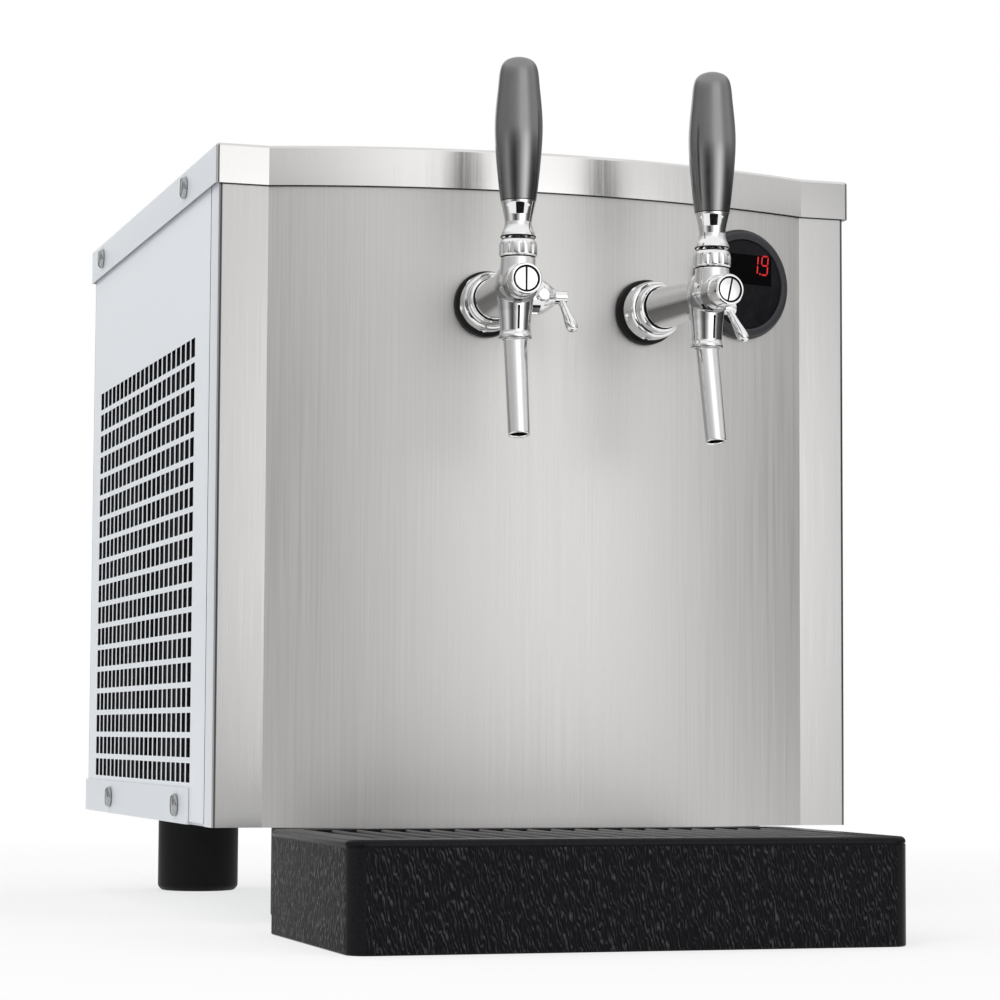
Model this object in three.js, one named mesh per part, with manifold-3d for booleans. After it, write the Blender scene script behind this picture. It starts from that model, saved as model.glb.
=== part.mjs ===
// A countertop draft beer cooler with two lever taps, a round temperature display and the drip
// tray that stands before it. Millimetres, +Z up; the front faces -Y and the ground is z = 0.
import * as THREE from "three";
import { mergeGeometries, mergeVertices } from "three/addons/utils/BufferGeometryUtils.js";
import Module from "manifold-3d";

const wasm = await Module();
wasm.setup();

// Fits, cuts and facets
const seat = 0.3; // gap between two pieces that touch
const overrun = 2; // how far a cut runs past the face that it opens
const quarterTurn = Math.PI / 2;
const degree = Math.PI / 180;
const bowSteps = 12;
const bendSteps = 2;
const largeRound = 16;
const mediumRound = 12;
const smallRound = 8;

// Sheet-metal cabinet, measured from the plane of its two front flats
const cabinetWidth = 400;
const cabinetDepth = 426;
const cabinetHeight = 403;
const sheet = 1.2;
const bendRadius = 2.5;
const sideFlat = 30;
const bowRise = 30;
const coverSkirt = 24;
const coverOverhang = 2.5;
const returnDepth = 22;
const joggleLap = 14;
const topFlange = 12;
const rearLap = 14;
const baseFlangeHeight = 22;
const baseFlangeSetback = 66;

// Air grille in the left panel
const grilleColumns = 22;
const grilleRows = 18;
const grilleFrontMargin = 65;
const grilleRearMargin = 30.4;
const grilleBottomMargin = 25;
const grilleTopMargin = 107.9;
const grilleUprightWidth = 3.8;
const grilleCrossWidth = 3.5;

// Outlet slots in the right and rear panels
const slotCount = 9;
const slotLength = 190;
const slotHeight = 5;
const slotPitch = 15;
const slotRearMargin = 46;
const slotBottomMargin = 60;
const ventCount = 8;
const ventWidth = 5;
const ventHeight = 110;
const ventPitch = 14;
const ventOffset = 30;
const ventBottomMargin = 60;

// Feet
const footDiameter = 58;
const footHeight = 56;
const footEdge = 3;
const footInsetX = 73;
const footInsetY = 36;

// Pan-head screws that hold the cover and the base pan
const screwDiameter = 14;
const screwHead = 3.2;
const coverScrewFrontInset = 88;
const coverScrewRearInset = 42;
const baseScrewFrontInset = 98;
const baseScrewRearInset = 98;

// Taps: places across the bowed panel as shares of its width, and their depth below the cover's top
const leftTapShare = -0.10875;
const rightTapShare = 0.14325;
const tapDrop = 93.2;

// Shank, gasket and flange nut
const shankDiameter = 16;
const shankBore = 8;
const shankTail = 38;
const lockNutAcross = 24;
const lockNutThickness = 8;
const gasketDiameter = 39.5;
const gasketThickness = 7;
const gasketEdge = 1.2;
const flangeRearDiameter = 36;
const flangeFrontDiameter = 34;
const flangeLength = 11;
const flangeEdge = 1.2;
const stepRearDiameter = 30.5;
const stepFrontDiameter = 28;
const stepLength = 6.5;

// Tap body; distances along the barrel start at the panel
const barrelRearDiameter = 25;
const barrelFrontDiameter = 19;
const barrelBore = 15;
const seatWallStart = 67;
const seatWallLength = 6;
const seatBore = 10;
const leverReach = 87.5;
const capLength = 9.7;
const tapReach = 110;
const neckDiameter = 20;
const neckTop = 15;
const spigotHeight = 4.5;
const spigotDiameter = 18.4;
const outletReach = 81;
const outletTopDiameter = 21;
const outletWaist = 17.4;
const outletLip = 19;
const outletLipHeight = 3;
const outletDrop = 31;
const outletBore = 14.6;
const outletPocketHeight = 19;
const bossReach = 14;
const bossDiameter = 17;
const compensatorReach = 40;

// Front cap with its slotted disc
const capDiameter = 18;
const capGrooveOuter = 14.6;
const capGrooveInner = 13.6;
const capGrooveDepth = 1.2;
const capSlot = 0.9;
const capGuideDiameter = 11;
const capGuideLength = 3.3;
const capBoreDepth = 8;

// Lever pivot and what turns about it; heights start at the pivot
const pivotHeight = 20;
const pivotBall = 15;
const lipDiameter = 13;
const nutDiameter = 22;
const nutTop = 5.5;
const nutTopDiameter = 18;
const nutEdge = 1.3;
const nutShoulder = 2;
const stemDiameter = 4.4;
const stemUpperDiameter = 6;
const fingerDrop = 14;
const fingerBall = 5;
const skirtClearance = 11.8;
const skirtDiameter = 20.2;
const waistDiameter = 15.4;
const waistHeight = 13;
const ferruleDiameter = 20.2;
const ferruleTop = 27.2;
const studDiameter = 8;
const studLength = 12;
const handleLength = 83;
const handleBelly = 27.4;
const handleHeightShares = [0, 0.12, 0.3, 0.48, 0.62, 0.78, 0.9, 0.955, 0.985];
const handleWidthShares = [0.74, 0.835, 0.94, 1, 0.974, 0.88, 0.8, 0.67, 0.42];

// Valve shaft
const plugStart = 60;
const plugLength = 10;
const guideDiameter = 14.2;
const guideLength = 2.5;
const stemOfShaft = 6.4;
const yokeStart = 80.5;
const yokeLength = 13;
const yokeDiameter = 14;
const yokeSlotPlay = 0.8;
const yokeSlotWidth = 5.8;
const shaftEnd = 105;

// Nozzle
const nozzleTopDiameter = 13.4;
const nozzleTipDiameter = 12.4;
const nozzleBore = 9.6;
const nozzleTilt = 11 * degree;
const nozzleDrop = 87;
const nozzlePlugHeight = 10;

// Flow compensator on the tap's right side
const compensatorNutDiameter = 21.5;
const compensatorNutEnd = 32;
const compensatorNutShoulder = 24;
const compensatorNutTip = 11;
const stopDiameter = 8;
const stopReach = 13;
const spindleDiameter = 5;
const spindleDiscDiameter = 8.8;
const spindleHubDiameter = 8;
const spindleHubLength = 7.5;
const crankOffset = 2.9;
const crankPinDiameter = 2.6;
const crankPinLength = 3;
const crankAngle = 15 * degree;
const sideLeverLength = 24;
const sideLeverRootDiameter = 4.8;
const sideLeverTipDiameter = 7;
const sideLeverLean = 30 * degree;
const sideLeverSplay = 12 * degree;
const coneRear = 29;
const coneLength = 17;
const coneDiameter = 14;
const coneNoseDiameter = 8;
const coneGroove = 5;
const coneCoreDiameter = 6.4;

// Round thermostat in the bowed panel
const displayShare = 0.31125;
const displayDrop = 71;
const bezelDiameter = 68;
const bezelInner = 55;
const bezelThickness = 6;
const bezelEdge = 2;
const windowThickness = 2;
const windowRecess = 1.2;
const caseDiameter = 57;
const caseDepth = 36;

// Cooling block on its two leg walls
const blockLeftMargin = 128;
const blockRightMargin = 50;
const blockFrontMargin = 46;
const blockRearMargin = 204;
const blockTopMargin = 31;
const blockHeight = 140;
const legThickness = 12;
const beerLineDiameter = 10;
const beerLineBore = 6;

// Compressor
const compressorSideInset = 108;
const compressorRearInset = 108;
const compressorDiameter = 148;
const compressorHeightShare = 0.417;
const compressorWall = 12;
const compressorSeam = 4;
const compressorPlate = 3;
const grommetDiameter = 22;
const grommetHeight = 12;
const grommetSpacing = 110;
const suctionLineDiameter = 9;

// Condenser and fan, behind the air grille
const condenserGap = 12;
const condenserThickness = 30;
const condenserFrontMargin = 92;
const condenserRearMargin = 54;
const condenserBottomMargin = 24;
const condenserTopMargin = 103;
const condenserSlots = 16;
const finGapShare = 0.52;
const finFrame = 6;
const endPlate = 1.5;
const shroudGap = 5;
const shroudPlate = 1.5;
const shroudRing = 24;
const fanDiameter = 196;
const fanTipClearance = 4;
const hubDiameter = 46;
const hubLength = 20;
const bladeCount = 5;
const bladeChord = 52;
const bladeThickness = 2.4;
const bladePitch = 32 * degree;
const bladeTwist = 12 * degree;
const motorDiameter = 66;
const motorLength = 44;
const motorShaftDiameter = 8;
const motorGap = 10;
const bracketThickness = 3;
const bracketWidth = 60;

// Beer inlets and cord gland in the rear panel
const inletReach = 26;
const inletNutAcross = 20;
const inletNutThickness = 8;
const inletBarbDiameter = 9;
const inletInset = 60;
const inletSpacing = 70;
const inletDrop = 103;
const glandInset = 60;
const glandHeight = 45;
const glandDiameter = 18;
const glandBore = 9;
const glandHole = 13;
const glandLip = 3;
const glandDepth = 10;

// Drip tray and its wire grid
const trayWidth = 308;
const trayDepth = 182;
const trayHeight = 58;
const trayGap = 78;
const trayOffset = -30;
const trayCorner = 11;
const trayEdge = 4;
const trayRim = 16;
const trayLedge = 6;
const trayFloor = 4;
const traySkin = 3;
const recessCorner = 1.5;
const gridRods = 20;
const rodSides = 4;
const rodDiameter = 3.6;
const crossBars = 3;
const crossHeight = 3;
const crossInset = 3.2;
const rodBite = 0.7;
const gridPlay = 1;
const gridDrop = 0.4;

// Places that follow from the sizes above
const half = cabinetWidth / 2;
const bowHalf = half - sideFlat;
const bowRadius = (bowHalf ** 2 + bowRise ** 2) / (2 * bowRise);
const bowCentre = bowRadius - bowRise;
const panelBottom = sheet + seat;
const panelTop = cabinetHeight - sheet - seat;
const frontReach = trayGap + trayDepth;
const rearReach = cabinetDepth + inletReach;
const tapLeftX = leftTapShare * cabinetWidth;
const tapRightX = rightTapShare * cabinetWidth;
const tapHeight = cabinetHeight - tapDrop;
const displayX = displayShare * cabinetWidth;
const displayHeight = cabinetHeight - displayDrop;
const blockLeft = -half + blockLeftMargin;
const blockRight = half - blockRightMargin;
const blockFront = blockFrontMargin;
const blockRear = cabinetDepth - blockRearMargin;
const blockTop = cabinetHeight - blockTopMargin;
const blockBottom = blockTop - blockHeight;
const capStart = tapReach - capLength;
const flangeStart = seat + gasketThickness + seat;
const barrelStart = flangeStart + flangeLength + stepLength + seat;

// A geometry's positions alone, with shared vertices and without collapsed triangles.
function welded(geometry) {
  const plain = new THREE.BufferGeometry();
  plain.setAttribute("position", geometry.getAttribute("position"));
  plain.setIndex(geometry.index);
  const merged = mergeVertices(plain);
  const corners = merged.index.array;
  const kept = [];
  for (let i = 0; i < corners.length; i += 3) {
    const [a, b, c] = corners.slice(i, i + 3);
    if (a !== b && b !== c && c !== a) kept.push(a, b, c);
  }
  return { positions: merged.attributes.position.array, kept };
}

// A closed geometry as a solid; one whose profile runs the other way is turned inside out.
function solid(geometry) {
  const { positions, kept } = welded(geometry);
  const make = (triVerts) =>
    new wasm.Manifold(
      new wasm.Mesh({ numProp: 3, vertProperties: positions, triVerts: new Uint32Array(triVerts) }),
    );
  const made = make(kept);
  return made.volume() < 0 ? make(kept.reverse()) : made;
}

const asSolid = (item) => (item.isBufferGeometry ? solid(item) : item);
const join = (first, ...rest) => rest.reduce((sum, next) => sum.add(asSolid(next)), asSolid(first));
const cut = (first, ...tools) => tools.reduce((left, tool) => left.subtract(asSolid(tool)), asSolid(first));

// A named mesh with a material of its own, added to the group that carries it.
function piece(group, name, shape, finish) {
  const mesh = asSolid(shape).getMesh();
  const geometry = new THREE.BufferGeometry();
  geometry.setAttribute("position", new THREE.BufferAttribute(mesh.vertProperties, mesh.numProp));
  geometry.setIndex(new THREE.BufferAttribute(mesh.triVerts, 1));
  const made = new THREE.Mesh(geometry, new THREE.MeshStandardMaterial({ ...finish, flatShading: true }));
  made.name = name;
  group.add(made);
  return made;
}

// A turned solid about Z from a list of [radius, height], from axis to axis or closed on itself.
function turned(profile, steps) {
  const points = profile.map(([radius, height]) => new THREE.Vector2(radius, height));
  return new THREE.LatheGeometry(points, steps).rotateX(quarterTurn);
}

function rod(diameter, bottom, top, steps) {
  const height = top - bottom;
  const middle = (top + bottom) / 2;
  return new THREE.CylinderGeometry(diameter / 2, diameter / 2, height, steps)
    .rotateX(quarterTurn)
    .translate(0, 0, middle);
}

function tube(outer, inner, bottom, top, steps) {
  const r = outer / 2;
  const b = inner / 2;
  return turned([[b, bottom], [r, bottom], [r, top], [b, top], [b, bottom]], steps);
}

function block(x0, x1, y0, y1, z0, z1) {
  return new THREE.BoxGeometry(Math.abs(x1 - x0), y1 - y0, z1 - z0)
    .translate((x0 + x1) / 2, (y0 + y1) / 2, (z0 + z1) / 2);
}

function prism(points, bottom, top) {
  const shape = new THREE.Shape(points.map(([x, y]) => new THREE.Vector2(x, y)));
  return new THREE.ExtrudeGeometry(shape, { depth: top - bottom, bevelEnabled: false })
    .translate(0, 0, bottom);
}

// A closed skin over rings of equally many points, with flat ends.
function loft(rings) {
  const count = rings[0].length;
  const corners = [];
  for (let r = 1; r < rings.length; r++) {
    for (let i = 0; i < count; i++) {
      const j = (i + 1) % count;
      const low = (r - 1) * count;
      const high = r * count;
      corners.push(low + i, low + j, high + j, low + i, high + j, high + i);
    }
  }
  const last = (rings.length - 1) * count;
  for (let i = 2; i < count; i++) {
    corners.push(0, i, i - 1);
    corners.push(last, last + i - 1, last + i);
  }
  const geometry = new THREE.BufferGeometry().setFromPoints(rings.flat());
  return geometry.setIndex(corners);
}

// A rounded rectangle about the origin, anticlockwise.
function roundedRectangle(width, depth, radius, steps) {
  const points = [];
  for (let corner = 0; corner < 4; corner++) {
    const signX = corner === 0 || corner === 3 ? 1 : -1;
    const signY = corner < 2 ? 1 : -1;
    for (let i = 0; i <= steps; i++) {
      const angle = quarterTurn * (corner + i / steps);
      const x = signX * (width / 2 - radius) + radius * Math.cos(angle);
      const y = signY * (depth / 2 - radius) + radius * Math.sin(angle);
      points.push([x, y]);
    }
  }
  return points;
}

// The bowed panel's face at a distance x from the middle, and how far it is turned there.
function bowAt(x) {
  return { y: bowCentre - Math.sqrt(bowRadius ** 2 - x ** 2), angle: Math.asin(x / bowRadius) };
}

// The cabinet's outline from above, open at the rear, moved inwards by an inset.
function planOutline(inset, rear, corner) {
  const side = half - inset;
  const radius = bowRadius - inset;
  const fold = Math.sqrt(radius ** 2 - (bowCentre - inset) ** 2);
  const reach = Math.asin(fold / radius);
  const leftEnd = [[-side, rear]];
  for (let i = 0; i <= bendSteps; i++) {
    const turn = (quarterTurn * i) / bendSteps;
    leftEnd.push([-side + corner * (1 - Math.cos(turn)), inset + corner * (1 - Math.sin(turn))]);
  }
  const bow = [];
  for (let i = 0; i <= bowSteps; i++) {
    const angle = reach * ((2 * i) / bowSteps - 1);
    bow.push([radius * Math.sin(angle), bowCentre - radius * Math.cos(angle)]);
  }
  const rightEnd = leftEnd.map(([x, y]) => [-x, y]).reverse();
  return [...leftEnd, ...bow, ...rightEnd];
}

// Finishes
const brushedSteel = { color: 0xc9c5bf, roughness: 0.34, metalness: 0.9 };
const paleSteel = { color: 0xdfe4e8, roughness: 0.5, metalness: 0.35 };
const chrome = { color: 0xdcdddf, roughness: 0.1, metalness: 1 };
const blackGloss = { color: 0x2b2b2d, roughness: 0.18, metalness: 0 };
const blackRubber = { color: 0x151515, roughness: 0.75, metalness: 0 };
const blackGrained = { color: 0x1c1c20, roughness: 0.55, metalness: 0 };
const blackWire = { color: 0x232327, roughness: 0.45, metalness: 0.3 };
const darkGlass = { color: 0x07070a, roughness: 0.08, metalness: 0 };
const zincSteel = { color: 0x9ea3a6, roughness: 0.45, metalness: 0.8 };
const darkFins = { color: 0x26282a, roughness: 0.5, metalness: 0.6 };
const blackPaint = { color: 0x141414, roughness: 0.4, metalness: 0.1 };
const whiteFoam = { color: 0xe4e2dc, roughness: 0.8, metalness: 0 };

const root = new THREE.Group();
const machine = new THREE.Group();
machine.position.y = (frontReach - rearReach) / 2;
root.add(machine);
const cabinet = new THREE.Group();
cabinet.position.z = footHeight;
machine.add(cabinet);

// A cutter square to the bowed panel at x, at a height above the cabinet's bottom.
function bowCutter(x, height, diameter, steps) {
  const { y, angle } = bowAt(x);
  return rod(diameter, -shankTail, shankTail, steps)
    .rotateX(quarterTurn)
    .rotateZ(angle)
    .translate(x, y, height);
}

function addFrontPanel() {
  const outer = planOutline(0, returnDepth, bendRadius);
  const inner = planOutline(sheet, returnDepth, bendRadius - sheet);
  const shell = prism([...outer, ...inner.reverse()], 0, panelTop);
  const shankHole = shankDiameter + 2 * seat;
  const caseHole = caseDiameter + 2 * seat;
  const panel = cut(
    shell,
    bowCutter(tapLeftX, tapHeight, shankHole, smallRound),
    bowCutter(tapRightX, tapHeight, shankHole, smallRound),
    bowCutter(displayX, displayHeight, caseHole, largeRound),
  );
  piece(cabinet, "front_panel", panel, brushedSteel);
}

// A side panel with a joggled front edge behind the front panel's return and a flange on top.
function sidePanel(side, openings) {
  const step = returnDepth + seat;
  const rearEnd = cabinetDepth - sheet - seat;
  const tongue = half - 2 * sheet - seat;
  const plan = [
    [half, step],
    [half, rearEnd],
    [half - sheet, rearEnd],
    [half - sheet, step + sheet],
    [tongue, step + sheet],
    [tongue, step - joggleLap],
    [tongue + sheet, step - joggleLap],
    [tongue + sheet, step],
  ];
  const mirrored = side < 0 ? plan.map(([x, y]) => [-x, y]).reverse() : plan;
  const flangeFront = step + sheet;
  const flangeRear = cabinetDepth - rearLap - seat;
  const inner = half - topFlange;
  const flange = block(side * inner, side * half, flangeFront, flangeRear, panelTop - sheet, panelTop);
  return cut(join(prism(mirrored, panelBottom, panelTop), flange), openings);
}

function addSidePanels() {
  const holes = [];
  const near = half - sheet - overrun;
  const far = half + overrun;
  const span = cabinetDepth - grilleFrontMargin - grilleRearMargin + grilleUprightWidth;
  const rise = cabinetHeight - grilleBottomMargin - grilleTopMargin + grilleCrossWidth;
  const across = span / grilleColumns;
  const up = rise / grilleRows;
  for (let row = 0; row < grilleRows; row++) {
    for (let column = 0; column < grilleColumns; column++) {
      const y = grilleFrontMargin + column * across;
      const z = grilleBottomMargin + row * up;
      holes.push(block(-far, -near, y, y + across - grilleUprightWidth, z, z + up - grilleCrossWidth));
    }
  }
  piece(cabinet, "left_side_panel", sidePanel(-1, mergeGeometries(holes)), paleSteel);
  const slots = [];
  const slotRear = cabinetDepth - slotRearMargin;
  for (let row = 0; row < slotCount; row++) {
    const z = slotBottomMargin + row * slotPitch;
    slots.push(block(near, far, slotRear - slotLength, slotRear, z, z + slotHeight));
  }
  piece(cabinet, "right_side_panel", sidePanel(1, mergeGeometries(slots)), paleSteel);
}

function inletX(side) {
  return blockRight - inletInset - (side === "left" ? inletSpacing : 0);
}

function addRearPanel() {
  const inner = cabinetDepth - sheet;
  const lapInner = half - 2 * sheet - seat;
  const lapOuter = half - sheet - seat;
  const lapFront = cabinetDepth - rearLap;
  const vents = [];
  const ventTop = ventBottomMargin + ventHeight;
  for (let i = 0; i < ventCount; i++) {
    const x = ventOffset + i * ventPitch;
    vents.push(block(x, x + ventWidth, inner - overrun, cabinetDepth + overrun, ventBottomMargin, ventTop));
  }
  const hole = (x, z, diameter) =>
    rod(diameter, -rearLap, rearLap, smallRound).rotateX(quarterTurn).translate(x, cabinetDepth, z);
  const rightHalf = [
    [lapInner, inner],
    [lapInner, lapFront],
    [lapOuter, lapFront],
    [lapOuter, inner],
    [half, inner],
    [half, cabinetDepth],
  ];
  const leftHalf = rightHalf.map(([x, y]) => [-x, y]).reverse();
  const panel = cut(
    prism([...rightHalf, ...leftHalf], panelBottom, panelTop),
    mergeGeometries(vents),
    hole(inletX("left"), cabinetHeight - inletDrop, beerLineDiameter + 2 * seat),
    hole(inletX("right"), cabinetHeight - inletDrop, beerLineDiameter + 2 * seat),
    hole(-half + glandInset, glandHeight, glandHole + 2 * seat),
  );
  piece(cabinet, "rear_panel", panel, zincSteel);
}

function addCover() {
  const rear = cabinetDepth + coverOverhang;
  const bottom = cabinetHeight - coverSkirt;
  const outer = prism(planOutline(-coverOverhang, rear, bendRadius), bottom, cabinetHeight);
  const inside = planOutline(sheet - coverOverhang, rear - sheet, bendRadius - sheet);
  piece(cabinet, "cover", cut(outer, prism(inside, bottom - overrun, cabinetHeight - sheet)), brushedSteel);
}

function addBasePan() {
  const flangeInner = half + seat;
  const flangeOuter = flangeInner + sheet;
  const rearInner = cabinetDepth + seat;
  const rearOuter = rearInner + sheet;
  const front = planOutline(sheet + seat, baseFlangeSetback, bendRadius - sheet);
  const floor = [
    ...front,
    [flangeOuter, baseFlangeSetback],
    [flangeOuter, rearOuter],
    [-flangeOuter, rearOuter],
    [-flangeOuter, baseFlangeSetback],
  ];
  const inside = block(
    -flangeInner,
    flangeInner,
    -bowRise - overrun,
    rearInner,
    sheet,
    baseFlangeHeight + overrun,
  );
  const pan = cut(prism(floor, 0, baseFlangeHeight), inside);
  piece(cabinet, "base_pan", pan, paleSteel);
}

function addFeet() {
  const r = footDiameter / 2;
  const profile = [
    [0, 0],
    [r - footEdge, 0],
    [r, footEdge],
    [r, footHeight - seat],
    [0, footHeight - seat],
  ];
  const places = { left: -half + footInsetX, right: half - footInsetX };
  const depths = { front: footInsetY, rear: cabinetDepth - footInsetY };
  for (const [side, x] of Object.entries(places)) {
    for (const [end, y] of Object.entries(depths)) {
      const foot = piece(machine, `foot_${end}_${side}`, turned(profile, mediumRound), blackRubber);
      foot.position.set(x, y, 0);
    }
  }
}

function addScrews() {
  const r = screwDiameter / 2;
  const crown = r - screwHead / 2;
  const head = turned([[0, 0], [r, 0], [r, screwHead / 2], [crown, screwHead], [0, screwHead]], smallRound);
  const rows = {
    cover: {
      face: half + coverOverhang,
      z: cabinetHeight - coverSkirt / 2,
      y: [coverScrewFrontInset, cabinetDepth - coverScrewRearInset],
    },
    base: {
      face: half + seat + sheet,
      z: baseFlangeHeight / 2,
      y: [baseScrewFrontInset, cabinetDepth - baseScrewRearInset],
    },
  };
  for (const [row, { face, z, y }] of Object.entries(rows)) {
    for (const [side, sign] of Object.entries({ left: -1, right: 1 })) {
      ["front", "rear"].forEach((end, i) => {
        const screw = piece(cabinet, `${row}_screw_${side}_${end}`, head, zincSteel);
        screw.rotation.y = sign * quarterTurn;
        screw.position.set(sign * (face + seat), y[i], z);
      });
    }
  }
}

// The tap's pieces; in a tap's group -Y runs out along the barrel from the panel's face.
const outwards = (geometry) => geometry.rotateX(quarterTurn);
const sideways = (geometry) => geometry.rotateY(quarterTurn);

function addShank(tap, name) {
  const stop = barrelStart - seat;
  const nutEnd = -sheet - seat - shankDiameter * (1 - Math.cos(bowHalf / bowRadius));
  const nut = rod(lockNutAcross / Math.cos(quarterTurn / 3), nutEnd - lockNutThickness, nutEnd, 6);
  const shank = cut(
    join(rod(shankDiameter, -shankTail, stop, smallRound), nut),
    rod(shankBore, -shankTail - overrun, stop + overrun, smallRound),
  );
  piece(tap, `${name}_shank`, shank.rotate([90, 0, 0]), zincSteel);
}

function addFlange(tap, name) {
  const bore = shankDiameter / 2 + seat;
  const r = gasketDiameter / 2;
  const end = seat + gasketThickness;
  const gasket = turned(
    [[bore, seat], [r, seat], [r, end - gasketEdge], [r - gasketEdge, end], [bore, end], [bore, seat]],
    largeRound,
  );
  piece(tap, `${name}_gasket`, outwards(gasket), blackRubber);
  const stepStart = flangeStart + flangeLength;
  const stepEnd = stepStart + stepLength;
  const nut = turned(
    [
      [bore, flangeStart],
      [flangeRearDiameter / 2, flangeStart],
      [flangeFrontDiameter / 2, stepStart - flangeEdge],
      [flangeFrontDiameter / 2 - flangeEdge, stepStart],
      [stepRearDiameter / 2, stepStart],
      [stepFrontDiameter / 2, stepEnd],
      [bore, stepEnd],
      [bore, flangeStart],
    ],
    largeRound,
  );
  piece(tap, `${name}_flange_nut`, outwards(nut), chrome);
}

// The barrel with its neck, outlet and side boss, and the passages through them.
function addTapBody(tap, name) {
  const length = capStart - seat - barrelStart;
  const barrel = outwards(
    new THREE.CylinderGeometry(barrelFrontDiameter / 2, barrelRearDiameter / 2, length, mediumRound)
      .rotateX(quarterTurn)
      .translate(0, 0, barrelStart + length / 2),
  );
  const bore = barrelBore;
  const seatWallEnd = seatWallStart + seatWallLength;
  const neck = rod(neckDiameter, 0, neckTop, mediumRound).translate(0, -leverReach, 0);
  const spigot = rod(spigotDiameter, 0, neckTop + spigotHeight, mediumRound).translate(0, -leverReach, 0);
  const lip = outletLip / 2;
  const outlet = turned(
    [
      [0, -outletDrop],
      [lip, -outletDrop],
      [lip, outletLipHeight * 0.6 - outletDrop],
      [outletWaist / 2, outletLipHeight - outletDrop],
      [outletTopDiameter / 2, 0],
      [0, 0],
    ],
    mediumRound,
  ).translate(0, -outletReach, 0);
  const boss = sideways(rod(bossDiameter, 0, bossReach, mediumRound)).translate(0, -compensatorReach, 0);
  const ballBottom = pivotHeight - pivotBall / 2 - seat;
  const slotHalf = fingerSwing() + seat;
  const body = cut(
    join(barrel, neck, spigot, outlet, boss),
    outwards(rod(bore, barrelStart - overrun, seatWallStart, smallRound)),
    outwards(rod(seatBore, seatWallStart - overrun, seatWallEnd + overrun, smallRound)),
    outwards(rod(bore, seatWallEnd, capStart + overrun, smallRound)),
    rod(pivotBall + 2 * seat, ballBottom, neckTop + spigotHeight + overrun, mediumRound)
      .translate(0, -leverReach, 0),
    block(
      -stemDiameter / 2 - seat,
      stemDiameter / 2 + seat,
      -leverReach - slotHalf,
      -leverReach + slotHalf,
      0,
      ballBottom + overrun,
    ),
    rod(outletBore, -outletDrop - overrun, outletPocketHeight - outletDrop, mediumRound)
      .translate(0, -outletReach, 0),
    rod(seatBore, outletPocketHeight - outletDrop - overrun, 0, smallRound).translate(0, -outletReach, 0),
    sideways(rod(spindleDiscDiameter + 2 * seat, 0, bossReach + overrun, mediumRound))
      .translate(0, -compensatorReach, 0),
  );
  piece(tap, `${name}_body`, body, chrome);
}

// How far the lever's stem reaches along the barrel where it enters the barrel's bore.
function fingerSwing() {
  const drop = pivotHeight - barrelBore / 2;
  return drop * Math.tan(pourAngle) + stemDiameter / 2 / Math.cos(pourAngle);
}

function addFrontCap(tap, name) {
  const r = capDiameter / 2;
  const groove = tapReach - capGrooveDepth;
  const guideBore = stemOfShaft + 2 * seat;
  const cap = cut(
    outwards(
      turned(
        [
          [0, capStart - capGuideLength],
          [capGuideDiameter / 2, capStart - capGuideLength],
          [capGuideDiameter / 2, capStart],
          [r, capStart],
          [r, tapReach],
          [capGrooveOuter / 2, tapReach],
          [capGrooveOuter / 2, groove],
          [capGrooveInner / 2, groove],
          [capGrooveInner / 2, tapReach - capGrooveDepth / 3],
          [0, tapReach - capGrooveDepth / 3],
        ],
        mediumRound,
      ),
    ),
    outwards(rod(guideBore, capStart - capGuideLength - overrun, capStart + capBoreDepth, smallRound)),
    block(-capSlot / 2, capSlot / 2, -tapReach - overrun, -groove, -capGrooveInner / 2, capGrooveInner / 2),
  );
  piece(tap, `${name}_front_cap`, cap, chrome);
}

// The valve shaft: guide collar, plug in the seat wall, stem, and the yoke that the lever moves.
function addValveShaft(tap, name) {
  const stem = stemOfShaft / 2;
  const plug = seatBore / 2 - seat;
  const plugEnd = plugStart + plugLength;
  const yokeEnd = yokeStart + yokeLength;
  const finger = fingerBall / 2 + yokeSlotPlay;
  const shaft = cut(
    outwards(
      turned(
        [
          [0, plugStart - guideLength],
          [guideDiameter / 2, plugStart - guideLength],
          [guideDiameter / 2, plugStart],
          [plug, plugStart],
          [plug, plugEnd],
          [stem, plugEnd],
          [stem, yokeStart],
          [yokeDiameter / 2, yokeStart],
          [yokeDiameter / 2, yokeEnd],
          [stem, yokeEnd],
          [stem, shaftEnd],
          [0, shaftEnd],
        ],
        smallRound,
      ),
    ),
    block(
      -yokeSlotWidth / 2,
      yokeSlotWidth / 2,
      -leverReach - finger,
      -leverReach + finger,
      pivotHeight - fingerDrop - fingerBall / 2 - yokeSlotPlay,
      yokeDiameter,
    ),
  );
  piece(tap, `${name}_valve_shaft`, shaft, zincSteel);
}

// The nut that holds the lever's ball down in the neck.
function addCollarNut(tap, name) {
  const r = nutDiameter / 2;
  const cavity = pivotBall / 2 + seat;
  const thread = spigotDiameter / 2 + seat;
  const bottom = neckTop + seat - pivotHeight;
  const shoulder = neckTop + spigotHeight + seat - pivotHeight;
  const lip = Math.sqrt(cavity ** 2 - (lipDiameter / 2) ** 2);
  const nut = turned(
    [
      [thread, bottom],
      [r - nutEdge, bottom],
      [r, bottom + nutEdge],
      [r, nutShoulder],
      [(r + nutTopDiameter / 2) / 2 + nutEdge / 4, nutTop - nutEdge],
      [nutTopDiameter / 2, nutTop],
      [lipDiameter / 2, nutTop],
      [lipDiameter / 2, lip],
      [cavity * Math.cos(quarterTurn / 4), cavity * Math.sin(quarterTurn / 4)],
      [cavity, shoulder],
      [thread, shoulder],
      [thread, bottom],
    ],
    mediumRound,
  );
  piece(tap, `${name}_collar_nut`, nut.translate(0, -leverReach, pivotHeight), chrome);
}

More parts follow.
